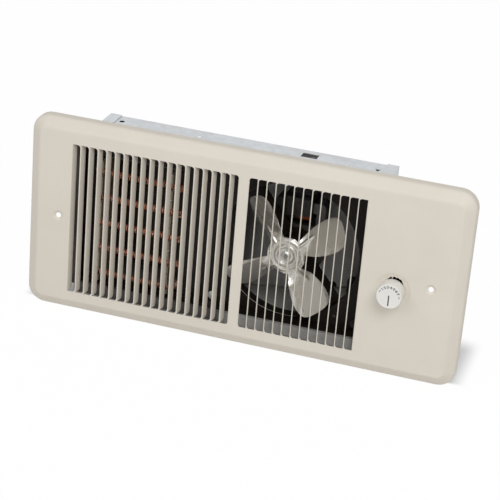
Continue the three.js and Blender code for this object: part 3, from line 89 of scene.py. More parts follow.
COVER_LOW, COVER_HIGH = corners("cover_rim")
KNOB_LOW, KNOB_HIGH = corners("knob")
KNOB_RADIUS = (KNOB_HIGH[0] - KNOB_LOW[0]) / 2
KNOB_AXIS = middle("knob")[[0, 2]]
FAN_AXIS = middle("motor_shaft")[[0, 2]]
COIL_LOW, COIL_HIGH = corners("heating_coil")
BOARD_LEFT = middle("element_board_left")
BOARD_RIGHT = middle("element_board_right")
BOARD_FRONT_Y = corners("element_board_left")[0][1]
CHASSIS_FRONT_Y = corners("chassis_plate")[0][1]
CAN_TOP_Z = corners("can_rail_top")[1][2] + 1.3 * MM  # the gap over the rail and the can's own sheet
UP = np.array([0.0, 0.0, 1.0])


# ---- properties


def length(millimetres, description):
    return FloatProperty(description=description, default=millimetres * MM, unit="LENGTH", precision=5)


def angle(degrees, description):
    return FloatProperty(description=description, default=math.radians(degrees), subtype="ANGLE")


def share(default, description):
    return FloatProperty(description=description, default=default, min=0.0, max=4.0)


def count(default, description):
    return IntProperty(description=description, default=default, min=1)


def watts(default, description):
    return FloatProperty(description=description, default=default, unit="POWER")


def place(x, y, z, description):
    spot = (x, y, z)
    return FloatVectorProperty(description=description, default=spot, subtype="XYZ", unit="LENGTH", size=3)


def colour(red, green, blue, description):
    """A colour given as the eye sees it, 0 to 255, and kept as linear light."""
    seen = tuple(linear((red, green, blue)))
    return FloatVectorProperty(description=description, default=seen, subtype="COLOR", size=3)


def linear(seen):
    """Linear light of a colour from 0 to 255: a straight foot near black and a power of 2.4 above it."""
    level = np.asarray(seen, float) / 255
    return np.where(level <= 0.04045, level / 12.92, ((level + 0.055) / 1.055) ** 2.4)


class CoverSettings(bpy.types.PropertyGroup):
    corner_radius: length(20, "Round of the cover's four corners")
    edge_inset: length(12, "How far the sloping edge reaches in over the face")
    edge_drop: length(8, "How far the sloping edge falls back")
    shoulder_radius: length(5, "Bend between the side wall and the sloping edge")
    crease_radius: length(6, "Bend between the sloping edge and the face")
    sheet: length(1.0, "Thickness of the steel")
    grille_left: length(-196.6, "Left end of the louvers")
    pitch: length(10.02, "From one louver to the next")
    left_louvers: count(19, "Louvers before the heating element")
    right_louvers: count(13, "Louvers before the fan")
    centre_bar: length(9.6, "Plain strip between the two banks")
    rib: length(1.1, "Face left between two louvers")
    slot_height: length(175.7, "Height of each slot")
    slot_middle: length(-1.2, "Height of the slots' middle")
    slot_corner: length(3.2, "Round of a slot's free corners")
    vane_length: length(8.1, "Straight part of a louver behind its bend")
    vane_angle: angle(78, "Turn of a louver from the cover's face")
    vane_bend: length(1.15, "Outer radius of a louver's bend")
    bend_start: length(1.03, "How far behind the hinge line a louver's bend starts")
    relief: length(0.3, "Gap above and below a louver at its bend")
    hole_span: length(421.4, "Between the two fixing holes")
    hole_radius: length(2.9, "Radius of a fixing hole")
    dimple_radius: length(5.9, "Outer radius of the dish round a fixing hole")
    dimple_depth: length(1.6, "Depth of that dish")
    knob_hole_radius: length(9.1, "Radius of the upper part of the hole behind the knob")
    knob_hole_right: length(1.2, "How far that part's middle lies right of the knob's axis")
    knob_hole_up: length(7.0, "How far that part's middle lies above the knob's axis")
    knob_dish_radius: length(19.5, "Outer radius of the shallow dish round the knob")
    knob_dish_depth: length(0.6, "Depth of that shallow dish")


class FanSettings(bpy.types.PropertyGroup):
    radius: length(73, "Radius at the middle of a blade's tip")
    tip_bow: length(5.7, "How much shorter a blade is at its corners")
    tip_round: length(7, "Round of a blade's corners")
    tip_half: angle(12.55, "Half the angle that a blade's tip takes up")
    blades: count(4, "Number of blades")
    phase: angle(33.6, "Direction of the first blade's middle")
    leading_root: angle(-34.4, "Leading edge at the hub, from the blade's middle")
    leading_tip: angle(-12.5, "Leading edge at the tip")
    leading_power: share(0.62, "Power of the way out by which the leading edge swings")
    trailing_root: angle(35.2, "Trailing edge at the hub, from the blade's middle")
    trailing_tip: angle(12.6, "Trailing edge at the tip")
    trailing_power: share(1.14, "Power of the way out by which the trailing edge swings")
    sheet_y: length(4.5, "Middle of the sheet at the hub")
    sheet: length(1.0, "Thickness of the stamped sheet")
    pitch: angle(37.5, "Turn of a blade out of the hub's plane")
    set_back: length(1.9, "How far the blades lie behind the hub")
    camber: length(0.4, "Hollow across a blade")
    edge_fold: length(1.1, "How far a blade's creased edges turn back")
    hub_radius: length(21, "Radius of the round hub")
    bore: length(2.7, "Radius of the hole for the shaft")
    ring_height: length(2, "How far the hub's ring stands forward")
    rib_height: length(1.6, "Height of the short rib at a blade's root")


class ElementSettings(bpy.types.PropertyGroup):
    rows: count(5, "Coil rows in front of the boards")
    row_pitch: length(30.2, "From one front row to the next")
    slant: length(1, "How much a front row falls from left to right, each side of its middle")
    sag: length(0.9, "How far a row hangs between the boards")
    coil_radius: length(4.1, "Outer radius of the open coil")
    wire_radius: length(0.55, "Radius of the resistance wire")
    turn_pitch: length(2.6, "From one turn of the coil to the next")
    past_board: length(1.5, "From a board's middle out to where the coil's half turns start")
    bend: length(6, "How far the coil's middle line swings out from there")
    end_y: length(21.8, "Where the coil's ends meet their terminals")
    hook_radius: length(2.6, "Radius of the wire hooks on the right board")


class KnobSettings(bpy.types.PropertyGroup):
    rim: length(0.9, "Width of the raised rim round the face")
    dish: length(0.25, "Depth of the face inside the rim")
    edge: length(0.9, "Round of the rim's outer edge")
    wall: length(1.8, "Wall of the hollow knob")
    taper: length(0.5, "How much slimmer the knob is at its back")
    back_gap: length(0.4, "Space between the knob and the cover")
    socket: length(5.5, "Outer radius of the socket behind the face")
    bore: length(3.3, "Radius of the socket's bore")
    bore_end: length(9.7, "From the knob's front to the end of its bore")
    pointer_width: length(1.3, "Width of the pointer line")
    mark_height: length(2.7, "Height of the dial's numbers")
    marks: count(7, "Numbers on the dial")
    print_depth: length(0.05, "Thickness of the printed marks")


class FinishSettings(bpy.types.PropertyGroup):
    enamel: colour(219, 212, 200, "Baked enamel of the cover")
    galvanised: colour(214, 217, 220, "Zinc-coated sheet")
    black_paint: colour(25, 20, 15, "Paint of the chassis and the motor's housing")
    aluminium: colour(218, 216, 210, "Stamped fan and reflector")
    zinc: colour(218, 220, 222, "Plated screws and small parts")
    resistance: colour(238, 176, 148, "Heated wire, copper brown")
    # Also the colour of the painted shade at the coil's back
    scorched: colour(74, 40, 26, "Dark oxide on that wire")
    mica: colour(150, 143, 126, "Pressed board under the coil")
    copper: colour(178, 92, 58, "Enamelled motor wire")
    bronze: colour(168, 128, 78, "Sintered bearings")
    steel: colour(170, 168, 164, "Ground shaft and laminations")
    black_plastic: colour(34, 34, 35, "Moulded insulators")
    white_plastic: colour(229, 228, 223, "Moulded knob")
    dial_print: colour(34, 34, 36, "Marks on the knob")
    lead_red: colour(150, 40, 32, "Insulation")
    lead_white: colour(118, 112, 102, "Insulation, dulled by dust")
    ground_green: colour(30, 82, 46, "Dyed ground screw")


class StageSettings(bpy.types.PropertyGroup):
    camera_place: place(0.4939, -1.7424, 0.7998, "Where the camera stands")
    camera_azimuth: angle(15.63, "Turn of the view to the left of +Y")
    camera_fall: angle(23.95, "How far the view points down")
    camera_roll: angle(-4.84, "Clockwise turn of the camera about its view")
    lens: FloatProperty(description="Focal length", default=131.73, unit="CAMERA")
    world_level: share(0.39, "Even light from all round")
    key_place: place(1.1, -1.75, 1.85, "Middle of the large soft light at the upper right")
    key_size: length(1300, "Width of that light")
    key_power: watts(33.5, "Power of that light")
    fill_place: place(-1.3, -2.0, 1.6, "Middle of the weaker soft light at the upper left")
    fill_size: length(1500, "Width of that light")
    fill_power: watts(15.5, "Power of that light")


class HeaterSettings(bpy.types.PropertyGroup):
    cover: PointerProperty(type=CoverSettings)
    fan: PointerProperty(type=FanSettings)
    element: PointerProperty(type=ElementSettings)
    knob: PointerProperty(type=KnobSettings)
    finish: PointerProperty(type=FinishSettings)
    stage: PointerProperty(type=StageSettings)


# ---- curves and grids


def unit(vectors):
    return vectors / np.linalg.norm(vectors, axis=-1, keepdims=True)


def smooth_step(low, high, x):
    """0 below low, 1 above high, and 3t^2 - 2t^3 between them."""
    t = np.clip((x - low) / (high - low), 0, 1)
    return t * t * (3 - 2 * t)


def soft_minimum(a, b, reach):
    """The smaller of two values, with a parabola where they come nearer than reach."""
    near = np.clip(reach - abs(a - b), 0, None) / reach
    return np.minimum(a, b) - near**2 * reach / 4


def circle(radius, steps, centre=(0.0, 0.0)):
    """Points at equal angles round a circle in (x, z)."""
    turn = np.arange(steps) * 2 * np.pi / steps
    return np.array(centre) + radius * np.stack([np.cos(turn), np.sin(turn)], -1)


def rounded_rectangle(width, height, radius, steps):
    """Points round a rectangle in (x, z): each corner is a quarter circle about its own centre."""
    turn = np.linspace(0, np.pi / 2, steps + 1)
    turns = (np.arange(4)[:, None] * np.pi / 2 + turn).ravel()
    signs = np.repeat([[1, 1], [-1, 1], [-1, -1], [1, -1]], steps + 1, axis=0)
    centres = signs * (np.array([width, height]) / 2 - radius)
    return centres + radius * np.stack([np.cos(turns), np.sin(turns)], -1)


def rounded_path(points, radii, steps):
    """Straight runs with an arc of the given radius at each inner corner, tangent to both runs."""
    points = np.asarray(points, float)
    parts = [points[:1]]
    for before, corner, after, radius in zip(points, points[1:], points[2:], radii):
        into, out = unit(corner - before), unit(after - corner)
        turn = math.acos(float(np.clip(into @ out, -1, 1)))
        side = unit(out - (out @ into) * into)
        start = corner - into * radius * math.tan(turn / 2)
        at = np.linspace(0, turn, steps + 1)[:, None]
        parts.append(start + radius * (np.sin(at) * into + (1 - np.cos(at)) * side))
    parts.append(points[-1:])
    return np.concatenate(parts)


def grid_quads(rows, columns, close_rows=False, close_columns=False):
    """Corner numbers of a grid's quads; a closed direction joins its last line to its first."""
    r = np.arange(rows if close_rows else rows - 1)[:, None]
    c = np.arange(columns if close_columns else columns - 1)[None, :]
    near, far = r * columns, (r + 1) % rows * columns
    following = (c + 1) % columns
    return np.stack([near + c, near + following, far + following, far + c], -1).reshape(-1, 4)


def turned(profile, steps, axis_at, axis="Y"):
    """A profile of (radius, place along the axis) carried round the axis: a grid of profile by turn.

    axis_at is (x, z) for an axis along Y and (x, y) for one along Z."""
    profile = np.asarray(profile, float)
    along = np.broadcast_to(profile[:, 1:], (len(profile), steps))
    across, up = (profile[:, :1] * part + at for part, at in zip(circle(1, steps).T, axis_at))
    return np.stack((across, along, up) if axis == "Y" else (across, up, along), -1)


def way_along(points):
    """The way from a line's first point to each of its points."""
    return np.concatenate([[0], np.cumsum(np.linalg.norm(np.diff(points, axis=0), axis=1))])


def sideways(path, upright):
    """Two unit vectors at each of a path's points, square to it; the first leans towards upright."""
    tangent = unit(np.gradient(path, axis=0))
    side = unit(upright - (tangent @ upright)[:, None] * tangent)
    return side, np.cross(tangent, side)


def tube(path, radius, sides, upright):
    """Circles of one radius, each square to the path; upright sets where a circle starts."""
    side, other = sideways(path, upright)
    cosine, sine = circle(1, sides).T[:, :, None]
    return path[:, None] + radius * (cosine * side[:, None] + sine * other[:, None])


class Patches:
    """Surface patches that become one mesh; corners that meet are merged."""

    def __init__(self):
        self.points, self.faces, self.smooth = [], [], []
        self.total = 0

    def add(self, points, faces, smooth=True):
        points = np.asarray(points, float).reshape(-1, 3)
        self.points.append(points)
        self.faces.extend([[int(k) + self.total for k in face] for face in faces])
        self.smooth.extend([smooth] * len(faces))
        self.total += len(points)

    def grid(self, points, close_rows=False, close_columns=False):
        rows, columns = points.shape[:2]
        self.add(points, grid_quads(rows, columns, close_rows, close_columns))

    def turned(self, profile, steps, axis_at, close=False, axis="Y"):
        """A profile carried round an axis; close joins its end to its start."""
        self.grid(turned(profile, steps, axis_at, axis), close, True)

    def closed_tube(self, rings):
        """A tube from its rings, with a flat cap on each end."""
        rows, sides = rings.shape[:2]
        caps = [list(range(sides))[::-1], list(range((rows - 1) * sides, rows * sides))]
        self.add(rings, [*grid_quads(rows, sides, close_columns=True), *caps])

    def mesh(self, name, facing=None):
        """The merged mesh, its faces outwards, or for an open sheet towards facing on the whole."""
        mesh = bpy.data.meshes.new(name)
        mesh.from_pydata(np.concatenate(self.points), [], self.faces)
        mesh.polygons.foreach_set("use_smooth", self.smooth)
        work = bmesh.new()
        work.from_mesh(mesh)
        bmesh.ops.remove_doubles(work, verts=work.verts, dist=MERGE_DISTANCE)
        bmesh.ops.dissolve_degenerate(work, edges=work.edges, dist=MERGE_DISTANCE / 10)
        bmesh.ops.recalc_face_normals(work, faces=work.faces)
        if facing is not None:
            toward = sum((face.normal * face.calc_area() for face in work.faces), Vector())
            if toward.dot(Vector(facing)) < 0:
                bmesh.ops.reverse_faces(work, faces=work.faces)
        work.to_mesh(mesh)
        work.free()
        return mesh


def new_object(name, data):
    """An object of that mesh, curve, light or camera, in the scene."""
    made = bpy.data.objects.new(name, data)
    bpy.context.scene.collection.objects.link(made)
    return made


def place_piece(mesh, body, slot, finish=None, wall=0.0, offset=-1.0, replaces=()):
    """Shows a mesh as a piece of the heater: given its wall, its sharp edges, its finish and its body."""
    piece = new_object(mesh.name, mesh)
    if wall:
        solidify = piece.modifiers.new("wall", "SOLIDIFY")
        solidify.thickness = wall
        solidify.offset = offset
        solidify.use_even_offset = True
        shown = piece.evaluated_get(bpy.context.evaluated_depsgraph_get())
        piece.data = bpy.data.meshes.new_from_object(shown)
        piece.modifiers.clear()
    piece.data.set_sharp_from_angle(angle=SHARP_ANGLE)
    piece.data.materials.clear()
    piece.data.materials.append(finish_of(finish or slot))
    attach(piece, body)
    if replaces:
        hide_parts(*replaces)


# ---- shader maths


class Value:
    """A socket of a node tree; +, -, * and ** on it add Math nodes."""

    def __init__(self, paint, socket):
        self.paint = paint
        self.socket = socket

    def maths(self, operation, *values):
        return self.paint.node("ShaderNodeMath", {"operation": operation}, dict(enumerate(values)))

    def sine(self):
        return self.maths("SINE", self)

    def greater(self, other):
        return self.maths("MAXIMUM", self, other)

    def between(self, low, high):
        """0 at low, 1 at high, with soft ends."""
        settings = {"interpolation_type": "SMOOTHSTEP"}
        inputs = {"Value": self, "From Min": low, "From Max": high}
        return self.paint.node("ShaderNodeMapRange", settings, inputs)


def add_operator(symbol, operation):
    """Lets Python's operator make a Math node, with a Value on either side of it."""
    setattr(Value, f"__{symbol}__", lambda value, other: value.maths(operation, value, other))
    setattr(Value, f"__r{symbol}__", lambda value, other: value.maths(operation, other, value))


MATHS = {"add": "ADD", "sub": "SUBTRACT", "mul": "MULTIPLY", "pow": "POWER"}
for symbol, operation in MATHS.items():
    add_operator(symbol, operation)


class Paint:
    """A material's or the world's node tree, built up from values."""

    def __init__(self, owner):
        owner.use_nodes = True
        self.tree = owner.node_tree
        self.tree.nodes.clear()

    def node(self, kind, settings, inputs, output=0):
        """A node of that type: its settings first, then its sockets, each a number, a colour or a value."""
        node = self.tree.nodes.new(kind)
        for name, setting in settings.items():
            setattr(node, name, setting)
        for key, given in inputs.items():
            socket = node.inputs[key]
            if isinstance(given, Value):
                self.tree.links.new(given.socket, socket)
            elif np.ndim(given) and socket.type == "RGBA":
                socket.default_value = (*given, 1.0)
            else:
                socket.default_value = given
        return Value(self, node.outputs[output] if node.outputs else None)

    def place(self):
        """The point's place in the heater, in metres."""
        return self.node("ShaderNodeTexCoord", {}, {}, "Object")

    def parts(self, vector):
        """A vector's x, y and z."""
        first = self.node("ShaderNodeSeparateXYZ", {}, {0: vector})
        return [Value(self, socket) for socket in first.socket.node.outputs]

    def vector(self, x, y, z):
        return self.node("ShaderNodeCombineXYZ", {}, {0: x, 1: y, 2: z})

    def noise(self, at, scale, detail=2.0, roughness=0.5):
        inputs = {"Vector": at, "Scale": scale, "Detail": detail, "Roughness": roughness}
        return self.node("ShaderNodeTexNoise", {}, inputs)

    def cells(self, at, scale):
        """One random value for each of many grain-like cells."""
        cell = self.node("ShaderNodeTexVoronoi", {}, {"Vector": at, "Scale": scale}, "Color")
        return self.parts(cell)[0]

    def blend(self, share_of_second, first, second):
        """A colour between two colours."""
        inputs = {0: share_of_second, 6: first, 7: second}
        return self.node("ShaderNodeMix", {"data_type": "RGBA"}, inputs, 2)

    def shades(self, tone, base, low, high):
        """A colour from base times low to base times high."""
        return self.blend(tone, tint(base, low), tint(base, high))

    def bump(self, height, distance, strength=1.0):
        inputs = {"Strength": strength, "Distance": distance, "Height": height}
        return self.node("ShaderNodeBump", {}, inputs)

    def surface(self, **sockets):
        """The plain physical surface; each name is a socket of it, with _ for a space."""
        inputs = {name.replace("_", " "): value for name, value in sockets.items()}
        shader = self.node("ShaderNodeBsdfPrincipled", {}, inputs)
        self.output(shader)

    def output(self, shader, kind="ShaderNodeOutputMaterial"):
        self.node(kind, {}, {"Surface": shader})


def new_paint(name):
    """The empty node tree of a new material, and the point's place in the heater."""
    paint = Paint(bpy.data.materials.new(name))
    return paint, paint.place()


def tint(base, factor):
    """A colour made lighter or darker."""
    return tuple(min(1.0, float(level) * factor) for level in base)


# ---- finishes


def baked_enamel(name, base):
    """Sprayed and baked: orange peel a millimetre across, a faint cloudiness and a few specks."""
    paint, at = new_paint(name)
    peel = paint.noise(at, 700, detail=1.5)
    cloud = paint.noise(at, 26, detail=4)
    speck = paint.noise(at, 2600, detail=1).between(0.66, 0.74)
    clean = paint.shades(cloud, base, 0.95, 1.03)
    paint.surface(
        Base_Color=paint.blend(speck * 0.35, clean, tint(base, 0.72)),
        Roughness=0.50 + 0.12 * cloud,
        Specular_IOR_Level=0.4,
        Normal=paint.bump(peel, 0.05 * MM, 0.6),
    )


def within(paint, at, low, high, edge):
    """1 inside a box given by its corners and 0 outside it, with an edge of that width."""
    inside = 1.0
    for value, first, last in zip(paint.parts(at), low.tolist(), high.tolist()):
        inside = inside * value.between(first, first + edge) * value.between(last, last - edge)
    return inside


def galvanised_sheet(name, base):
    """Zinc crystals in cells of a few millimetres, soft cloudy wear and fine rolling lines.

    Inside the can and on its front flanges the sheet is a duller, darker grey, dust and painted shade;
    before the element it is nearly black, sooty and painted shade."""
    paint, at = new_paint(name)
    drift = paint.node("ShaderNodeTexNoise", {}, {"Vector": at, "Scale": 90.0}, "Color")
    warped = paint.node(
        "ShaderNodeVectorMath", {"operation": "MULTIPLY_ADD"}, {0: drift, 1: (0.006,) * 3, 2: at}
    )
    spangle = paint.cells(warped, 210)
    cloud = paint.noise(at, 18, detail=5)
    x, y, z = paint.parts(at)
    rolling = paint.noise(paint.vector(x * 9, y * 1100, z * 1100), 1)
    tone = 0.45 * spangle + 0.55 * cloud
    clean = paint.shades(tone, base, 0.78, 1.06)
    low, high = corners("wall_can")
    skin, flange = 0.1 * MM, 11 * MM
    margin = np.array([skin, skin, flange + skin])
    inside = within(paint, at, low + margin - (0, 1, 0), high - margin, skin)
    # Painted shade with dust: the can's inside and its front flanges turn darker and less metallic
    dusty_and_shaded = inside.greater(y.between(-2 * skin, -6 * skin))
    dust = paint.blend(cloud, (0.34, 0.336, 0.33), (0.62, 0.615, 0.60))
    # Painted shade with sooty dirt: nearly black before the element
    soot_and_shade = x.between(-5 * MM, -30 * MM)
    dust = paint.blend(soot_and_shade * 0.85, dust, (0.035, 0.031, 0.026))
    paint.surface(
        Base_Color=paint.blend(dusty_and_shaded * 0.96, clean, dust),
        Metallic=0.82 * (1 - 0.75 * dusty_and_shaded),
        Roughness=0.42 + 0.14 * spangle + 0.08 * cloud + 0.2 * dusty_and_shaded,
        Normal=paint.bump(0.6 * cloud + 0.4 * rolling, 0.05 * MM, 0.5),
    )


def black_paint(name, base):
    """Thin satin paint over sheet steel, with a little dust."""
    paint, at = new_paint(name)
    grain = paint.noise(at, 1300)
    dust = paint.noise(at, 40, detail=6, roughness=0.65).between(0.45, 0.75)
    paint.surface(
        Base_Color=paint.blend(dust * 0.4, base, tint(np.asarray(base) + 0.012, 1.4)),
        Roughness=0.45 + 0.22 * dust,
        Specular_IOR_Level=0.2,
        Normal=paint.bump(grain, 0.04 * MM, 0.5),
    )


def stamped_aluminium(name, base, centre):
    """Mill-finish sheet: fine lines round the fan's axis, with smudges."""
    paint, at = new_paint(name)
    x, _, z = paint.parts(at)
    across, up = x - centre[0], z - centre[1]
    radius = (across * across + up * up) ** 0.5
    lines = paint.noise(paint.vector(radius * 1600, across * 25, up * 25), 1)
    smudge = paint.noise(at, 40, detail=3)
    paint.surface(
        Base_Color=paint.shades(smudge, base, 0.84, 1.04),
        Metallic=0.66,
        Roughness=0.22 + 0.12 * smudge,
        Normal=paint.bump(lines, 0.006 * MM, 0.5),
    )


def rubbed_edge(name, base, centre):
    """Black paint with a painted highlight: a pale, partly metallic arc along the lower left of the fan's
    opening where light catches the bead.
    """
    paint, at = new_paint(name)
    x, _, z = paint.parts(at)
    lower_left = (x - centre[0]) * -0.5 + (z - centre[1]) * -0.87
    wear = paint.noise(at, 150, detail=3)
    # Painted highlight: the lower left arc of the bead turns pale; the noise only wobbles its border
    highlit = (lower_left + (wear - 0.5) * (12 * MM)).between(58 * MM, 68 * MM)
    paint.surface(
        Base_Color=paint.blend(highlit, base, (0.40, 0.39, 0.36)),
        Metallic=0.5 * highlit,
        Roughness=0.35 + 0.2 * wear,
        Normal=paint.bump(wear, 0.03 * MM, 0.5),
    )


def scorched_sheet(name, base):
    """Bright sheet browned and blackened in clouds over the whole of the reflector, by heat and by painted
    shade.
    """
    paint, at = new_paint(name)
    cloud = paint.noise(at, 34, detail=5, roughness=0.6)
    low, high = corners("rear_reflector")
    # Painted shade with heat scorch: the whole reflector turns nearly black
    burnt_and_shaded = within(paint, at, low - MM, high + MM, 0.5 * MM)
    soot_and_shade = paint.blend(cloud, (0.008, 0.006, 0.005), (0.050, 0.036, 0.026))
    paint.surface(
        Base_Color=paint.blend(burnt_and_shaded, tint(base, 0.9), soot_and_shade),
        Metallic=0.9 - 0.5 * burnt_and_shaded,
        Roughness=0.3 + 0.3 * burnt_and_shaded,
        Normal=paint.bump(cloud, 0.2 * MM, 0.5),
    )


def zinc_plate(name, base, metallic=0.95):
    """Bright plate with a faint colour drift and fine grain, nearly black inside the can's right end from
    painted shade.
    """
    paint, at = new_paint(name)
    drift = paint.noise(at, 160, detail=3)
    grain = paint.noise(at, 3000, detail=1)
    cool = tuple(np.asarray(base) * (0.90, 0.94, 1.0))
    warm = tuple(np.asarray(base) * (1.0, 0.97, 0.88))
    x, y, _ = paint.parts(at)
    # Painted shade: nearly black inside the can's right end
    dull = x.between(60 * MM, 80 * MM) * y.between(0.0, 10 * MM)
    paint.surface(
        Base_Color=paint.blend(dull * 0.93, paint.blend(drift, cool, warm), (0.02, 0.018, 0.016)),
        Metallic=metallic,
        Roughness=0.22 + 0.16 * drift,
        Normal=paint.bump(grain, 0.01 * MM, 0.5),
    )


def stacked_steel(name, base):
    """Varnished sheets half a millimetre thick, their edges showing as lines along Y."""
    paint, at = new_paint(name)
    _, y, _ = paint.parts(at)
    edge = 0.5 + 0.5 * (y * (2 * math.pi / (0.5 * MM))).sine()
    stain = paint.noise(at, 70, detail=5)
    paint.surface(
        Base_Color=paint.shades(edge * 0.6 + stain * 0.4, base, 0.14, 0.42),
        Metallic=0.7,
        Roughness=0.40 + 0.2 * stain,
        Normal=paint.bump(edge, 0.08 * MM, 0.7),
    )


def wound_wire(name, base):
    """Varnished turns of fine wire side by side along X, nearly black except at the lower right."""
    paint, at = new_paint(name)
    x, _, z = paint.parts(at)
    turn = 0.5 + 0.5 * (x * (2 * math.pi / (0.7 * MM))).sine()
    shade = paint.noise(at, 120, detail=4)
    lower_edge = float(corners("motor_winding")[0][2])
    # Near black above a wavy line over the lower edge and left of about 47 mm; copper shows only at the
    # lower right
    dark_above = (z + (shade - 0.5) * (4 * MM)).between(lower_edge + 5 * MM, lower_edge + 6 * MM)
    dark_cover = dark_above.greater((x + (shade - 0.5) * (6 * MM)).between(48 * MM, 46 * MM))
    dark_tone = paint.blend(shade, (0.008, 0.007, 0.006), (0.035, 0.032, 0.028))
    wire = paint.shades(turn * 0.7 + shade * 0.3, base, 0.45, 1.15)
    paint.surface(
        Base_Color=paint.blend(dark_cover, wire, dark_tone),
        Metallic=0.75 * (1 - dark_cover),
        Roughness=0.28 + 0.16 * shade + 0.15 * dark_cover,
        Normal=paint.bump(turn * (1 - 0.8 * dark_cover) + 0.5 * shade, 0.25 * MM, 0.8),
    )


def heated_wire(name, base, dark):
    """Resistance wire: bright copper brown with patches of dark oxide from heat, and painted shade
    darkening it at the back.
    """
    paint, at = new_paint(name)
    scale = paint.noise(at, 60, detail=5, roughness=0.6)
    speck = paint.noise(at, 900)
    oxide = (0.7 * scale + 0.3 * speck).between(0.52, 0.68)
    _, y, _ = paint.parts(at)
    # Painted shade: the coil's back rows turn dark
    behind = y.between(14 * MM, 30 * MM)
    paint.surface(
        Base_Color=paint.blend((oxide * 0.6).greater(behind * 0.9), base, dark),
        Metallic=0.75,
        Roughness=0.20 + 0.25 * oxide,
        Normal=paint.bump(speck, 0.02 * MM, 0.5),
    )


def mica_board(name, base):
    """Pressed flakes: small pale and dark cells with a dull sheen."""
    paint, at = new_paint(name)
    flake = paint.cells(at, 700)
    cloud = paint.noise(at, 90, detail=4)
    paint.surface(
        Base_Color=paint.shades(0.6 * flake + 0.4 * cloud, base, 0.55, 1.2),
        Roughness=0.55 + 0.25 * flake,
        Normal=paint.bump(flake, 0.05 * MM, 0.5),
    )


def moulded_plastic(name, base, roughness, grain_depth):
    """Moulded plastic with a fine spark-eroded grain and a faint flow pattern."""
    paint, at = new_paint(name)
    grain = paint.noise(at, 1800)
    flow = paint.noise(at, 45, detail=3)
    paint.surface(
        Base_Color=paint.shades(flow, base, 0.95, 1.02),
        Roughness=roughness + 0.12 * flow,
        Normal=paint.bump(grain, grain_depth, 0.6),
    )


def mottled(name, base, scale, detail, tones, roughness, relief, metallic=0.0):
    """One noise that shades a colour, its roughness and its relief together.

    tones are the factors of the darkest and the palest colour, roughness is its least value and its
    spread, and relief is its depth in millimetres and its strength."""
    paint, at = new_paint(name)
    mottle = paint.noise(at, scale, detail)
    paint.surface(
        Base_Color=paint.shades(mottle, base, *tones),
        Metallic=metallic,
        Roughness=roughness[0] + roughness[1] * mottle,
        Normal=paint.bump(mottle, relief[0] * MM, relief[1]),
    )


def ground_steel(name, base):
    """Centreless-ground rod: fine lines round it."""
    paint, at = new_paint(name)
    x, y, z = paint.parts(at)
    lines = paint.noise(paint.vector(x * 30, y * 4000, z * 30), 1)
    paint.surface(
        Base_Color=paint.shades(lines, base, 0.85, 1.1),
        Metallic=1.0,
        Roughness=0.2 + 0.15 * lines,
        Normal=paint.bump(lines, 0.01 * MM, 0.6),
    )


def finish_name(slot):
    """A finish's name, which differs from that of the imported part's plain material."""
    return slot + "_finish"


def finish_of(slot):
    return bpy.data.materials[finish_name(slot)]


def make_finishes(finish):
    """One finish for each of the record's slots, and those of the dial's ink and the opening's edge."""
    insulation = (240, 4, (0.82, 1.08), (0.45, 0.2), (0.04, 0.5))
    sintered = (2400, 3, (0.6, 1.1), (0.35, 0.25), (0.03, 0.7), 0.8)
    printed = (1500, 3, (0.8, 1.3), (0.5, 0.15), (0.01, 0.4))
    makers = {
        "cover_enamel": (baked_enamel, finish.enamel),
        "galvanised_sheet": (galvanised_sheet, finish.galvanised),
        "black_steel": (black_paint, finish.black_paint),
        "zinc_hardware": (zinc_plate, finish.zinc),
        "green_zinc": (zinc_plate, finish.ground_green, 0.4),
        "motor_laminations": (stacked_steel, finish.steel),
        "black_plastic": (moulded_plastic, finish.black_plastic, 0.45, 0.04 * MM),
        "copper_wire": (wound_wire, finish.copper),
        "bearing_bronze": (mottled, finish.bronze, *sintered),
        "shaft_steel": (ground_steel, finish.steel),
        "fan_aluminium": (stamped_aluminium, finish.aluminium, FAN_AXIS),
        "reflector_aluminium": (scorched_sheet, finish.aluminium),
        "resistance_wire": (heated_wire, finish.resistance, finish.scorched),
        "element_board": (mica_board, finish.mica),
        "knob_plastic": (moulded_plastic, finish.white_plastic, 0.25, 0.008 * MM),
        "lead_black": (mottled, finish.black_plastic, *insulation),
        "lead_red": (mottled, finish.lead_red, *insulation),
        "lead_white": (mottled, finish.lead_white, *insulation),
        "dial_ink": (mottled, finish.dial_print, *printed),
        "rubbed_edge": (rubbed_edge, finish.black_paint, FAN_AXIS),
    }
    for slot, (make, *given) in makers.items():
        make(finish_name(slot), *given)


# ---- cover


def edge_profile(cover, depth):
    """(inset, y) from the cover's rear edge up its side wall and sloping edge to the flat face."""
    inset, drop = cover.edge_inset, cover.edge_drop
    flat_ring = cover.corner_radius * 0.8
    corners_of_profile = [(0, 0), (0, drop - depth), (inset, -depth), (flat_ring, -depth)]
    return rounded_path(corners_of_profile, [cover.shoulder_radius, cover.crease_radius], 10)


def vane_profile(cover, face_y):
    """Where a louver's bend starts, its path in (across, y), and how far its half height falls along it.

    The path is an arc out of the face and then a straight run; over the last stretch the half height
    falls along a quarter circle, which rounds the far corners."""
    bend, turn, reach = cover.vane_bend, cover.vane_angle, cover.vane_length
    start = -cover.bend_start
    at = np.linspace(0, turn, 9)
    arc = np.stack([start + bend * np.sin(at), face_y + bend * (1 - np.cos(at))], -1)
    run = np.concatenate([[0.0], np.linspace(reach - cover.slot_corner, reach, 9)])
    straight = arc[-1] + run[:, None] * [math.cos(turn), math.sin(turn)]
    into_corner = np.clip(run - (reach - cover.slot_corner), 0, None)
    fall = cover.slot_corner - np.sqrt(np.clip(cover.slot_corner**2 - into_corner**2, 0, None))
    path = np.concatenate([arc, straight[1:]])
    drop = np.concatenate([np.zeros(len(arc)), fall[1:]])
    return start, path, drop


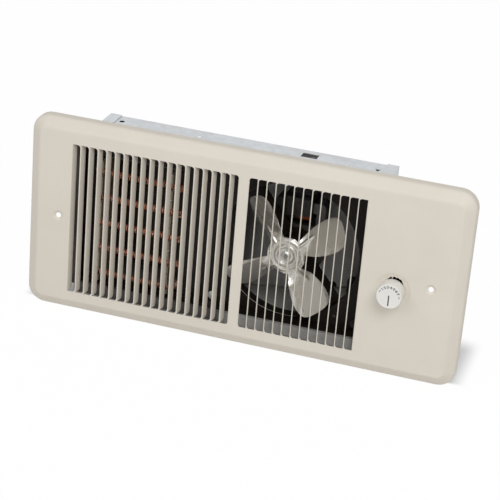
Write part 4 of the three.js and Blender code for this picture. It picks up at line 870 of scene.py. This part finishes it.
def slot_outline(cover, start):
    """A slot's outline in (across, height): square at its hinge, round at its two free corners."""
    half, corner = cover.slot_height / 2, cover.slot_corner
    free = cover.pitch - cover.rib
    turn = np.linspace(0, np.pi / 2, 7)
    low = np.stack([free - corner + corner * np.sin(turn), corner - half - corner * np.cos(turn)], -1)
    high = low[::-1] * (1, -1)
    hinge_low = [(start, cover.relief - half), (start, -half)]
    hinge_high = [(start, half), (start, half - cover.relief)]
    return np.concatenate([hinge_low, low, high, hinge_high])


def louver_hinges(cover):
    """(hinge's x, side) of every louver; the right bank's louvers are mirrored."""
    left = cover.grille_left + cover.pitch * np.arange(cover.left_louvers)
    right_start = cover.grille_left + cover.pitch * cover.left_louvers + cover.centre_bar
    right = right_start + cover.pitch * (1 + np.arange(cover.right_louvers))
    return [(x, 1) for x in left] + [(x, -1) for x in right]


def flat_sheet(outer, openings, y):
    """Triangles of a flat sheet at y between an outline and its openings, all in (x, z).

    A triangle is kept where a ray from its middle crosses the outlines an odd number of times."""
    loops = [outer, *openings]
    starts = np.cumsum([0] + [len(loop) for loop in loops])
    edges = [
        (start + k, start + (k + 1) % len(loop))
        for start, loop in zip(starts, loops)
        for k in range(len(loop))
    ]
    corner_points = np.concatenate(loops)
    ends = corner_points[np.array(edges)]
    given = [Vector(point) for point in corner_points]
    points, _, faces, *_ = delaunay_2d_cdt(given, edges, [], 1, 1e-9)
    points, faces = np.array([tuple(point) for point in points]), np.array(faces)
    x, z = points[faces].mean(axis=1).T[:, :, None]
    (x1, z1), (x2, z2) = ends[:, 0].T, ends[:, 1].T
    spans = (z1 > z) != (z2 > z)
    rise = np.where(z1 == z2, 1.0, z2 - z1)
    crossings = (spans & (x < x1 + (x2 - x1) * (z - z1) / rise)).sum(axis=1)
    return np.insert(points, 1, y, axis=1), faces[crossings % 2 == 1]


def fixing_dishes(cover, face_y, patches):
    """Adds the dish round each fixing hole and gives the outlines that they take out of the face."""
    flat_ring, bend = 0.6 * MM, 0.4 * MM
    wide = cover.dimple_radius + flat_ring
    path = [(wide, face_y), (cover.dimple_radius, face_y), (cover.hole_radius, face_y + cover.dimple_depth)]
    dish = rounded_path(path, [bend], 4)
    places = (-cover.hole_span / 2, cover.hole_span / 2)
    for x in places:
        patches.turned(dish, 40, (x, 0))
    return [circle(wide, 40, (x, 0)) for x in places]


def knob_dish(cover, face_y, patches):
    """Adds the shallow dish round the knob, with its hole, and gives its outline.

    The hole is a bore about the knob's axis joined to a circle above it: along each ray from the axis it
    reaches to the farther of the two."""
    flat_ring, slope, to_floor, bend, bore = 2 * MM, 2.5 * MM, 4 * MM, 1.5 * MM, 8 * MM
    wide, floor_y = cover.knob_dish_radius, face_y + cover.knob_dish_depth
    rim, flat = wide + flat_ring, wide - to_floor
    path = [(rim, face_y), (wide, face_y), (wide - slope, floor_y), (flat, floor_y)]
    dish = rounded_path(path, [bend, bend], 4)
    patches.turned(dish, 96, KNOB_AXIS)
    shift = np.array([cover.knob_hole_right, cover.knob_hole_up])
    ray = circle(1, 96)
    beside = ray[:, 0] * shift[1] - ray[:, 1] * shift[0]
    reach = ray @ shift + np.sqrt(cover.knob_hole_radius**2 - beside**2)
    hole = KNOB_AXIS + ray * np.maximum(reach, bore)[:, None]
    patches.add(*flat_sheet(circle(flat, 96, KNOB_AXIS), [hole], floor_y), smooth=False)
    return circle(rim, 96, KNOB_AXIS)


def make_cover(cover):
    """The cover as one bent sheet: edge rings, flat face, dished holes and louvers, then its thickness."""
    size = COVER_HIGH - COVER_LOW
    face_y = COVER_LOW[1]
    patches = Patches()
    profile = edge_profile(cover, -face_y)
    rings = [
        rounded_rectangle(size[0] - 2 * inset, size[2] - 2 * inset, cover.corner_radius - inset, 14)
        for inset in profile[:, 0]
    ]
    edge = np.stack([np.insert(ring, 1, y, axis=1) for ring, y in zip(rings, profile[:, 1])])
    patches.grid(edge, close_columns=True)

    start, vane, drop = vane_profile(cover, face_y)
    outline = slot_outline(cover, start)
    openings = []
    half = cover.slot_height / 2 - cover.relief - drop
    for hinge, side in louver_hinges(cover):
        openings.append(outline * (side, 1) + (hinge, cover.slot_middle))
        across = hinge + side * vane[:, 0]
        columns = [np.stack([across, vane[:, 1], cover.slot_middle + sign * half], -1) for sign in (-1, 1)]
        patches.grid(np.stack(columns, 1))

    openings += [*fixing_dishes(cover, face_y, patches), knob_dish(cover, face_y, patches)]
    patches.add(*flat_sheet(rings[-1], openings, face_y), smooth=False)
    mesh = patches.mesh("cover_pressing", facing=(0, -1, 0))
    place_piece(mesh, STILL_BODY, "cover_enamel", wall=cover.sheet, replaces=["front_cover", "cover_rim"])


# ---- fan


def blade_edges(fan, r):
    """A blade's two edge angles at radius r: each swings from root to tip by a power of the way out."""
    along = np.clip((r - fan.hub_radius) / (fan.radius - fan.hub_radius), 0, 1)
    leading = fan.leading_root + (fan.leading_tip - fan.leading_root) * along**fan.leading_power
    trailing = fan.trailing_root + (fan.trailing_tip - fan.trailing_root) * along**fan.trailing_power
    return leading, trailing


def fan_outline(fan, local):
    """The fan's outer radius at an angle from a blade's middle.

    It is the least of three curves with rounded corners: the leading edge, the tip's bow by the fourth
    power of the angle, and the trailing edge; between blades it is the hub's own radius."""
    span = fan.radius - fan.hub_radius

    def edge(root, tip, power):
        return fan.hub_radius + span * np.clip((local - root) / (tip - root), 0, 3) ** (1 / power)

    leading = edge(fan.leading_root, fan.leading_tip, fan.leading_power)
    trailing = edge(fan.trailing_root, fan.trailing_tip, fan.trailing_power)
    tip = fan.radius - fan.tip_bow * (local / fan.tip_half) ** 4
    blade = soft_minimum(soft_minimum(leading, tip, fan.tip_round), trailing, fan.tip_round)
    root_round = 3 * MM
    return -soft_minimum(-blade, -fan.hub_radius, root_round)


def fan_depth(fan, r, local):
    """The sheet's y at radius r and at an angle from the nearest blade's middle.

    A blade leaves the hub flat, takes its pitch and hollow over 18 mm, and folds back a little along both
    edges; a short rib stands forward at its root, and a ring and a low step stand forward on the hub."""
    grow_from, grow_to = fan.hub_radius - 4 * MM, fan.hub_radius + 14 * MM
    blade_end = math.radians(36)
    fold_front, fold_rear, fold_width = 0.66, 0.70, 0.32
    rib_turn, rib_width = math.radians(10), 1.3 * MM
    rib_start, rib_end = (16 * MM, 20 * MM), (33 * MM, 39 * MM)
    ring_radius, ring_width = 11 * MM, 1.9 * MM
    step_radius, step_width, step_height = 17.2 * MM, 1.3 * MM, 0.9 * MM
    leading, trailing = blade_edges(fan, r)
    side = np.clip(2 * (local - leading) / (trailing - leading) - 1, -1, 1)
    grow = smooth_step(grow_from, grow_to, r)
    on_blade = 1 - smooth_step(blade_end, math.pi / 4, abs(local))
    pitched = np.tan(fan.pitch) * r * np.sin(local) * on_blade
    hollow = fan.camber * (1 - side**2)
    past_folds = np.clip(side - fold_front, 0, None) + np.clip(-fold_rear - side, 0, None)
    folds = fan.edge_fold * past_folds / fold_width
    rib_across = r * np.sin(local - rib_turn) / rib_width
    rib_along = smooth_step(*rib_start, r) * (1 - smooth_step(*rib_end, r))
    rib = fan.rib_height * np.exp(-(rib_across**2)) * rib_along
    ring = fan.ring_height * np.exp(-(((r - ring_radius) / ring_width) ** 4))
    step = step_height * np.exp(-(((r - step_radius) / step_width) ** 2))
    return fan.sheet_y + grow * (pitched + hollow + folds + fan.set_back) - rib - ring - step


def make_fan(fan):
    """One stamped sheet as a function of angle and of the way from the bore to the outline.

    The angles are spaced evenly along the outline, so its steep edges stay smooth."""
    per_blade, hub_rows, blade_rows = 132, 40, 46
    dense = np.linspace(-math.pi / 4, math.pi / 4, 4001)
    reach = fan_outline(fan, dense)
    travelled = way_along(np.stack([reach * np.cos(dense), reach * np.sin(dense)], -1))
    local = np.interp(np.linspace(0, travelled[-1], per_blade + 1)[:-1], travelled, dense)
    outline = fan_outline(fan, local)
    hub_edge = fan.hub_radius - 2 * MM
    rows_in = np.linspace(fan.bore, hub_edge, hub_rows)[:-1, None] + 0 * outline
    rows_out = hub_edge + (outline - hub_edge) * np.linspace(0, 1, blade_rows)[:, None]
    r = np.concatenate([rows_in, rows_out])
    y = fan_depth(fan, r, local)
    blades = []
    for k in range(fan.blades):
        turn = fan.phase + 2 * math.pi * k / fan.blades + local
        blades.append(np.stack([FAN_AXIS[0] + r * np.cos(turn), y, FAN_AXIS[1] + r * np.sin(turn)], -1))
    patches = Patches()
    patches.grid(np.concatenate(blades, axis=1), close_columns=True)
    mesh = patches.mesh("fan_stamping", facing=(0, -1, 0))
    place_piece(mesh, FAN_BODY, "fan_aluminium", wall=fan.sheet, offset=0.0, replaces=["fan_blade"])


def make_orifice_bead():
    """A rolled bead round the fan's opening: a small circle carried round a large one."""
    bead, ring, from_chassis = 0.5 * MM, 78.2 * MM, 17.4 * MM
    section = circle(bead, 10) + (ring, CHASSIS_FRONT_Y + from_chassis)
    patches = Patches()
    patches.turned(section, 160, FAN_AXIS, close=True)
    place_piece(patches.mesh("orifice_bead"), STILL_BODY, "black_steel", finish="rubbed_edge")


# ---- heating element


def half_turn(centre, across, deep, fall, steps):
    """A half ellipse from front to back round a board, sinking evenly."""
    at = np.linspace(0, np.pi, steps)
    x = centre[0] + across * np.sin(at)
    y = centre[1] - deep * np.cos(at)
    z = centre[2] - fall * at / np.pi
    return np.stack([x, y, z], -1)


def straight_row(start, end, sag, steps):
    """A row between the boards that hangs as a parabola."""
    at = np.linspace(0, 1, steps)[:, None]
    line = np.asarray(start) + at * (np.asarray(end) - np.asarray(start))
    return line - UP * sag * 4 * at * (1 - at)


def coil_top(element):
    """Height of the top row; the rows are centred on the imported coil."""
    return (COIL_LOW[2] + COIL_HIGH[2]) / 2 + element.row_pitch * (element.rows - 1) / 2


def coil_route(element):
    """The coil's centre line: front rows, back rows and the half turns round the two boards."""
    front, back = COIL_LOW[1] + element.coil_radius, COIL_HIGH[1] - element.coil_radius
    left, right = BOARD_LEFT[0] - element.past_board, BOARD_RIGHT[0] + element.past_board
    middle_y, deep, out = (front + back) / 2, (back - front) / 2, element.bend
    slant, drop, sag = element.slant, element.row_pitch / 2, element.sag
    top = coil_top(element)
    last = top - (element.rows - 1) * element.row_pitch - slant
    row_steps, turn_steps, end_steps = 24, 16, 8
    quarter = np.linspace(0, np.pi / 2, end_steps)
    end_deep = element.end_y - front
    cosine, sine, one = np.cos(quarter), np.sin(quarter), np.ones(end_steps)
    start = [left - out * cosine, element.end_y - end_deep * sine, one * (top + slant)]
    end = [right + out * sine, element.end_y - end_deep * cosine, one * last]
    parts = [np.stack(start, -1)]
    for row in range(element.rows):
        z = top - row * element.row_pitch
        low = z - drop
        parts.append(straight_row((left, front, z + slant), (right, front, z - slant), sag, row_steps)[1:])
        if row < element.rows - 1:
            parts.append(half_turn((right, middle_y, z - slant), out, deep, drop - slant, turn_steps)[1:])
            parts.append(straight_row((right, back, low), (left, back, low), sag, row_steps)[1:])
            parts.append(half_turn((left, middle_y, low), -out, -deep, drop - slant, turn_steps)[1:])
    parts.append(np.stack(end, -1)[1:])
    return np.concatenate(parts)


def make_coil(element):
    """The open coil: a wire circle carried along a helix about the coil's route."""
    route = coil_route(element)
    travelled = way_along(route)
    per_turn = 14
    at = np.linspace(0, travelled[-1], int(travelled[-1] / element.turn_pitch * per_turn))
    centre = np.stack([np.interp(at, travelled, route[:, k]) for k in range(3)], -1)
    side, other = sideways(centre, UP)
    phase = (2 * np.pi * at / element.turn_pitch)[:, None]
    around = np.cos(phase) * side + np.sin(phase) * other
    helix = centre + (element.coil_radius - element.wire_radius) * around
    leaning = np.array([0.37, 0.21, 0.9])  # no turn of the wire runs along this
    patches = Patches()
    patches.closed_tube(tube(helix, element.wire_radius, 6, leaning))
    place_piece(patches.mesh("coil_wire"), STILL_BODY, "resistance_wire", replaces=["heating_coil"])


def make_hooks(element):
    """Bright wire hooks round the right board's front edge, midway between the coil's rows."""
    wire, radius, leg, clear = 0.55 * MM, element.hook_radius, 10 * MM, 1.2 * MM
    x, bend_y = BOARD_RIGHT[0], BOARD_FRONT_Y + radius - wire - clear
    at = np.linspace(0, np.pi, 14)
    arc = np.stack([x - radius * np.cos(at), bend_y - radius * np.sin(at), 0 * at], -1)
    back = np.array([[0, leg, 0.0]])
    hook = np.concatenate([arc[:1] + back, arc[:1] + back / 2, arc, arc[-1:] + back / 2, arc[-1:] + back])
    patches = Patches()
    for row in range(element.rows - 1):
        z = coil_top(element) - (row + 0.5) * element.row_pitch
        patches.closed_tube(tube(hook + (0, 0, z), wire, 8, UP))
    place_piece(patches.mesh("board_hooks"), STILL_BODY, "zinc_hardware")


# ---- knob


def make_knob(knob):
    """The knob turned from its profile: dished face, raised rim, tapered side, hollow back and socket."""
    front, back = KNOB_LOW[1], COVER_LOW[1] - knob.back_gap
    face, floor, bore_end = front + knob.dish, front + 2 * knob.wall, front + knob.bore_end
    rim, outside = KNOB_RADIUS - knob.rim, KNOB_RADIUS - knob.taper
    inside = outside - knob.wall
    soft = 0.3 * MM
    path = [
        (0, face), (rim - knob.dish, face), (rim, front), (KNOB_RADIUS, front), (outside, back),
        (inside, back), (inside, floor), (knob.socket, floor), (knob.socket, back), (knob.bore, back),
        (knob.bore, bore_end), (0, bore_end),
    ]
    bends = [soft / 2, 0.2 * MM, knob.edge, soft, soft, 0.8 * MM, 0.5 * MM, soft, soft, soft]
    crown = rounded_path(path, bends, 5)
    patches = Patches()
    patches.turned(crown, 128, KNOB_AXIS)
    place_piece(patches.mesh("knob_moulding"), KNOB_BODY, "knob_plastic", replaces=["knob"])


def flat_bar(patches, centre, direction, size, y, depth):
    """A thin printed bar: a box about its centre in (x, z), turned to a direction."""
    along = unit(np.asarray(direction, float))
    across = np.array([-along[1], along[0]])
    ends = [(-1, -1), (1, -1), (1, 1), (-1, 1)]
    flat = np.array([centre + a * size[0] / 2 * along + b * size[1] / 2 * across for a, b in ends])
    layers = [np.insert(flat, 1, y + k * depth, axis=1) for k in (0, 1)]
    sides = [(k, k + 4, (k + 1) % 4 + 4, (k + 1) % 4) for k in range(4)]
    patches.add(np.concatenate(layers), [(0, 1, 2, 3), (7, 6, 5, 4), *sides], smooth=False)


def dial_number(text, height, turn_to, centre, y, depth):
    """A printed number as a thin mesh, upright towards the dial's rim and a little bolder than the font."""
    cap_share, boldness = 0.7, 0.05
    curve = bpy.data.curves.new("number", "FONT")
    curve.body = text
    curve.size = height / cap_share
    curve.align_x = "CENTER"
    curve.align_y = "CENTER"
    curve.extrude = depth / 2
    curve.offset = boldness * height
    curve.resolution_u = 3
    holder = new_object("number", curve)
    mesh = bpy.data.meshes.new_from_object(holder.evaluated_get(bpy.context.evaluated_depsgraph_get()))
    bpy.data.objects.remove(holder)
    bpy.data.curves.remove(curve)
    face_out = Matrix.Rotation(math.pi / 2, 4, "X")
    spin = Matrix.Rotation(-(turn_to - math.pi / 2), 4, "Y")
    mesh.transform(Matrix.Translation((centre[0], y, centre[1])) @ spin @ face_out)
    return mesh


def make_dial(knob):
    """The printed dial: numbers in an arc over the top with ticks between them, a dash at each end and
    the pointer line. Part of the ink's depth is sunk in the knob's face."""
    first, last, dashes = 137, 27, (156, 4)
    dash, tick, past_axis = (2.6 * MM, 0.7 * MM), (1.2 * MM, 0.35 * MM), 1.2 * MM
    number_ring, mark_ring, pointer = 0.76 * KNOB_RADIUS, 0.80 * KNOB_RADIUS, 0.86 * KNOB_RADIUS
    back_y = KNOB_LOW[1] + knob.dish + 0.3 * knob.print_depth
    patches = Patches()

    def spoke(degrees):
        return np.array([math.cos(math.radians(degrees)), math.sin(math.radians(degrees))])

    def bar(centre, direction, size):
        flat_bar(patches, KNOB_AXIS + centre, direction, size, back_y, -knob.print_depth)

    bar((0, past_axis - pointer / 2), (0, 1), (pointer, knob.pointer_width))
    for degrees in dashes:
        out = spoke(degrees)
        bar(out * mark_ring, (-out[1], out[0]), dash)
    for degrees in np.linspace(first, last, 2 * knob.marks - 1)[1::2]:
        bar(spoke(degrees) * mark_ring, spoke(degrees), tick)
    mesh = patches.mesh("dial_print")
    work = bmesh.new()
    work.from_mesh(mesh)
    for number, degrees in enumerate(np.linspace(first, last, knob.marks), 1):
        centre, turn = KNOB_AXIS + number_ring * spoke(degrees), math.radians(degrees)
        middle_y = back_y - knob.print_depth / 2
        printed = dial_number(str(number), knob.mark_height, turn, centre, middle_y, knob.print_depth)
        work.from_mesh(printed)
        bpy.data.meshes.remove(printed)
    work.to_mesh(mesh)
    work.free()
    place_piece(mesh, KNOB_BODY, "knob_plastic", finish="dial_ink")


# ---- sheet metal details


def make_rivet():
    """The low round rivet head on top of the can: a dome turned about an upright axis."""
    x, y = -84.6 * MM, 78 * MM
    head, height, shank, sunk = 4.0 * MM, 1.5 * MM, 2.4 * MM, 0.6 * MM
    at = np.linspace(0, np.pi / 2, 8)
    dome = np.stack([head * np.cos(at), height * np.sin(at)], -1)
    profile = np.concatenate([[(0.0, -sunk), (shank, -sunk), (shank, 0.0)], dome])
    patches = Patches()
    patches.turned(profile + (0, CAN_TOP_Z), 32, (x, y), axis="Z")
    place_piece(patches.mesh("can_rivets"), STILL_BODY, "galvanised_sheet")


def dress_nodes():
    """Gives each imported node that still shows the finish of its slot."""
    for part in frame["record"]["subparts"]:
        node = frame["nodes"][part["node"]]
        finish = finish_of(part["material_slot"])
        if not node.material_slots:
            node.data.materials.append(finish)
        for slot in node.material_slots:
            slot.material = finish


# ---- stage


def light_path(paint):
    """1 for what the camera, a mirror or a glass sees directly."""
    outputs = paint.node("ShaderNodeLightPath", {}, {}).socket.node.outputs
    rays = ("Camera", "Glossy", "Transmission")
    camera, mirror, glass = (Value(paint, outputs[f"Is {ray} Ray"]) for ray in rays)
    return camera.greater(mirror).greater(glass)


def make_world(level):
    """Even pale light all round, white where it is seen."""
    world = bpy.data.worlds.new("studio")
    bpy.context.scene.world = world
    paint = Paint(world)
    seen = light_path(paint)
    strength = level + (1.0 - level) * seen
    inputs = {"Color": (1.0, 1.0, 1.0), "Strength": strength}
    paint.output(paint.node("ShaderNodeBackground", {}, inputs), "ShaderNodeOutputWorld")


def make_floor(height):
    """A wide pale floor that is nearly white to the camera, and dark under the heater.

    The heater stands on its cover's bottom edge; behind that edge and within the cover's width the floor
    shows its own dark shadow."""
    material = bpy.data.materials.new("pale_floor")
    paint = Paint(material)
    at = paint.place()
    x, y, _ = paint.parts(at)
    cloud = paint.noise(at, 3, detail=3)
    pale = paint.blend(cloud, (0.86, 0.86, 0.86), (0.90, 0.90, 0.90))
    lit = paint.node("ShaderNodeBsdfDiffuse", {}, {"Color": pale})
    white = paint.node("ShaderNodeEmission", {}, {"Color": (1.0, 1.0, 1.0), "Strength": 1.0})
    beside = x.maths("ABSOLUTE", x).between(260 * MM, 235 * MM)
    under = beside * y.between(-2 * MM, 4 * MM) * y.between(120 * MM, 80 * MM)
    whiteness = light_path(paint) * 0.98 * (1 - under)
    paint.output(paint.node("ShaderNodeMixShader", {}, {0: whiteness, 1: lit, 2: white}))
    reach = 12.0
    mesh = bpy.data.meshes.new("floor")
    outline = [(a * reach, b * reach, height) for a, b in ((-1, -1), (1, -1), (1, 1), (-1, 1))]
    mesh.from_pydata(outline, [], [(0, 1, 2, 3)])
    mesh.materials.append(material)
    new_object("floor", mesh)


def make_light(name, place, size, power):
    """A square soft light that faces the object's origin."""
    light = bpy.data.lights.new(name, "AREA")
    light.shape = "SQUARE"
    light.size = size
    light.energy = power
    holder = new_object(name, light)
    holder.location = place
    holder.rotation_euler = (-Vector(place)).to_track_quat("-Z", "Y").to_euler()


def make_camera(stage):
    """A camera whose view turns left of +Y, falls, and rolls about itself."""
    data = bpy.data.cameras.new("camera")
    data.lens = stage.lens
    data.sensor_width = 36.0
    data.clip_end = 60.0
    camera = new_object("camera", data)
    turn = Matrix.Rotation(stage.camera_azimuth, 4, "Z")
    fall = Matrix.Rotation(math.pi / 2 - stage.camera_fall, 4, "X")
    roll = Matrix.Rotation(-stage.camera_roll, 4, "Z")
    camera.matrix_world = Matrix.Translation(stage.camera_place) @ turn @ fall @ roll
    bpy.context.scene.camera = camera


# ---- operators and panel


class MakeStage(bpy.types.Operator):
    """Make the camera, the lights, the world and the floor"""

    bl_idname = "heater.make_stage"
    bl_label = "Stage"

    def execute(self, context):
        stage = context.scene.heater.stage
        context.scene.view_settings.view_transform = "Standard"
        make_camera(stage)
        make_world(stage.world_level)
        make_floor(COVER_LOW[2])
        make_light("key", stage.key_place, stage.key_size, stage.key_power)
        make_light("fill", stage.fill_place, stage.fill_size, stage.fill_power)
        return {"FINISHED"}


class MakeFinishes(bpy.types.Operator):
    """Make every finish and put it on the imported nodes"""

    bl_idname = "heater.make_finishes"
    bl_label = "Finishes"

    def execute(self, context):
        make_finishes(context.scene.heater.finish)
        dress_nodes()
        return {"FINISHED"}


class MakeCover(bpy.types.Operator):
    """Make the pressed cover with its louvers"""

    bl_idname = "heater.make_cover"
    bl_label = "Cover"

    def execute(self, context):
        make_cover(context.scene.heater.cover)
        return {"FINISHED"}


class MakeFan(bpy.types.Operator):
    """Make the stamped fan and the bead round its opening"""

    bl_idname = "heater.make_fan"
    bl_label = "Fan"

    def execute(self, context):
        make_fan(context.scene.heater.fan)
        make_orifice_bead()
        return {"FINISHED"}


class MakeElement(bpy.types.Operator):
    """Make the open heating coil and the hooks on its board"""

    bl_idname = "heater.make_element"
    bl_label = "Heating element"

    def execute(self, context):
        make_coil(context.scene.heater.element)
        make_hooks(context.scene.heater.element)
        return {"FINISHED"}


class MakeKnob(bpy.types.Operator):
    """Make the knob and its printed dial"""

    bl_idname = "heater.make_knob"
    bl_label = "Knob"

    def execute(self, context):
        make_knob(context.scene.heater.knob)
        make_dial(context.scene.heater.knob)
        return {"FINISHED"}


class MakeCanDetails(bpy.types.Operator):
    """Make the rivet head on the can"""

    bl_idname = "heater.make_can_details"
    bl_label = "Can details"

    def execute(self, context):
        make_rivet()
        return {"FINISHED"}


class HeaterPanel(bpy.types.Panel):
    """Lists the heater's pieces in the order in which they are made"""

    bl_idname = "VIEW3D_PT_heater"
    bl_label = "Wall Fan Heater"
    bl_space_type = "VIEW_3D"
    bl_region_type = "UI"
    bl_category = "Heater"

    def draw(self, context):
        for operator in OPERATORS:
            self.layout.operator(operator.bl_idname)


SETTINGS = (
    CoverSettings, FanSettings, ElementSettings, KnobSettings, FinishSettings, StageSettings,
    HeaterSettings,
)
OPERATORS = (MakeStage, MakeFinishes, MakeCover, MakeFan, MakeElement, MakeKnob, MakeCanDetails)


def register():
    for cls in (*SETTINGS, *OPERATORS, HeaterPanel):
        bpy.utils.register_class(cls)
    bpy.types.Scene.heater = PointerProperty(type=HeaterSettings)


def unregister():
    del bpy.types.Scene.heater
    for cls in (HeaterPanel, *reversed(OPERATORS), *reversed(SETTINGS)):
        bpy.utils.unregister_class(cls)


def main():
    register()
    for operator in OPERATORS:
        group, name = operator.bl_idname.split(".")
        getattr(getattr(bpy.ops, group), name)()


if __name__ == "__main__":
    main()
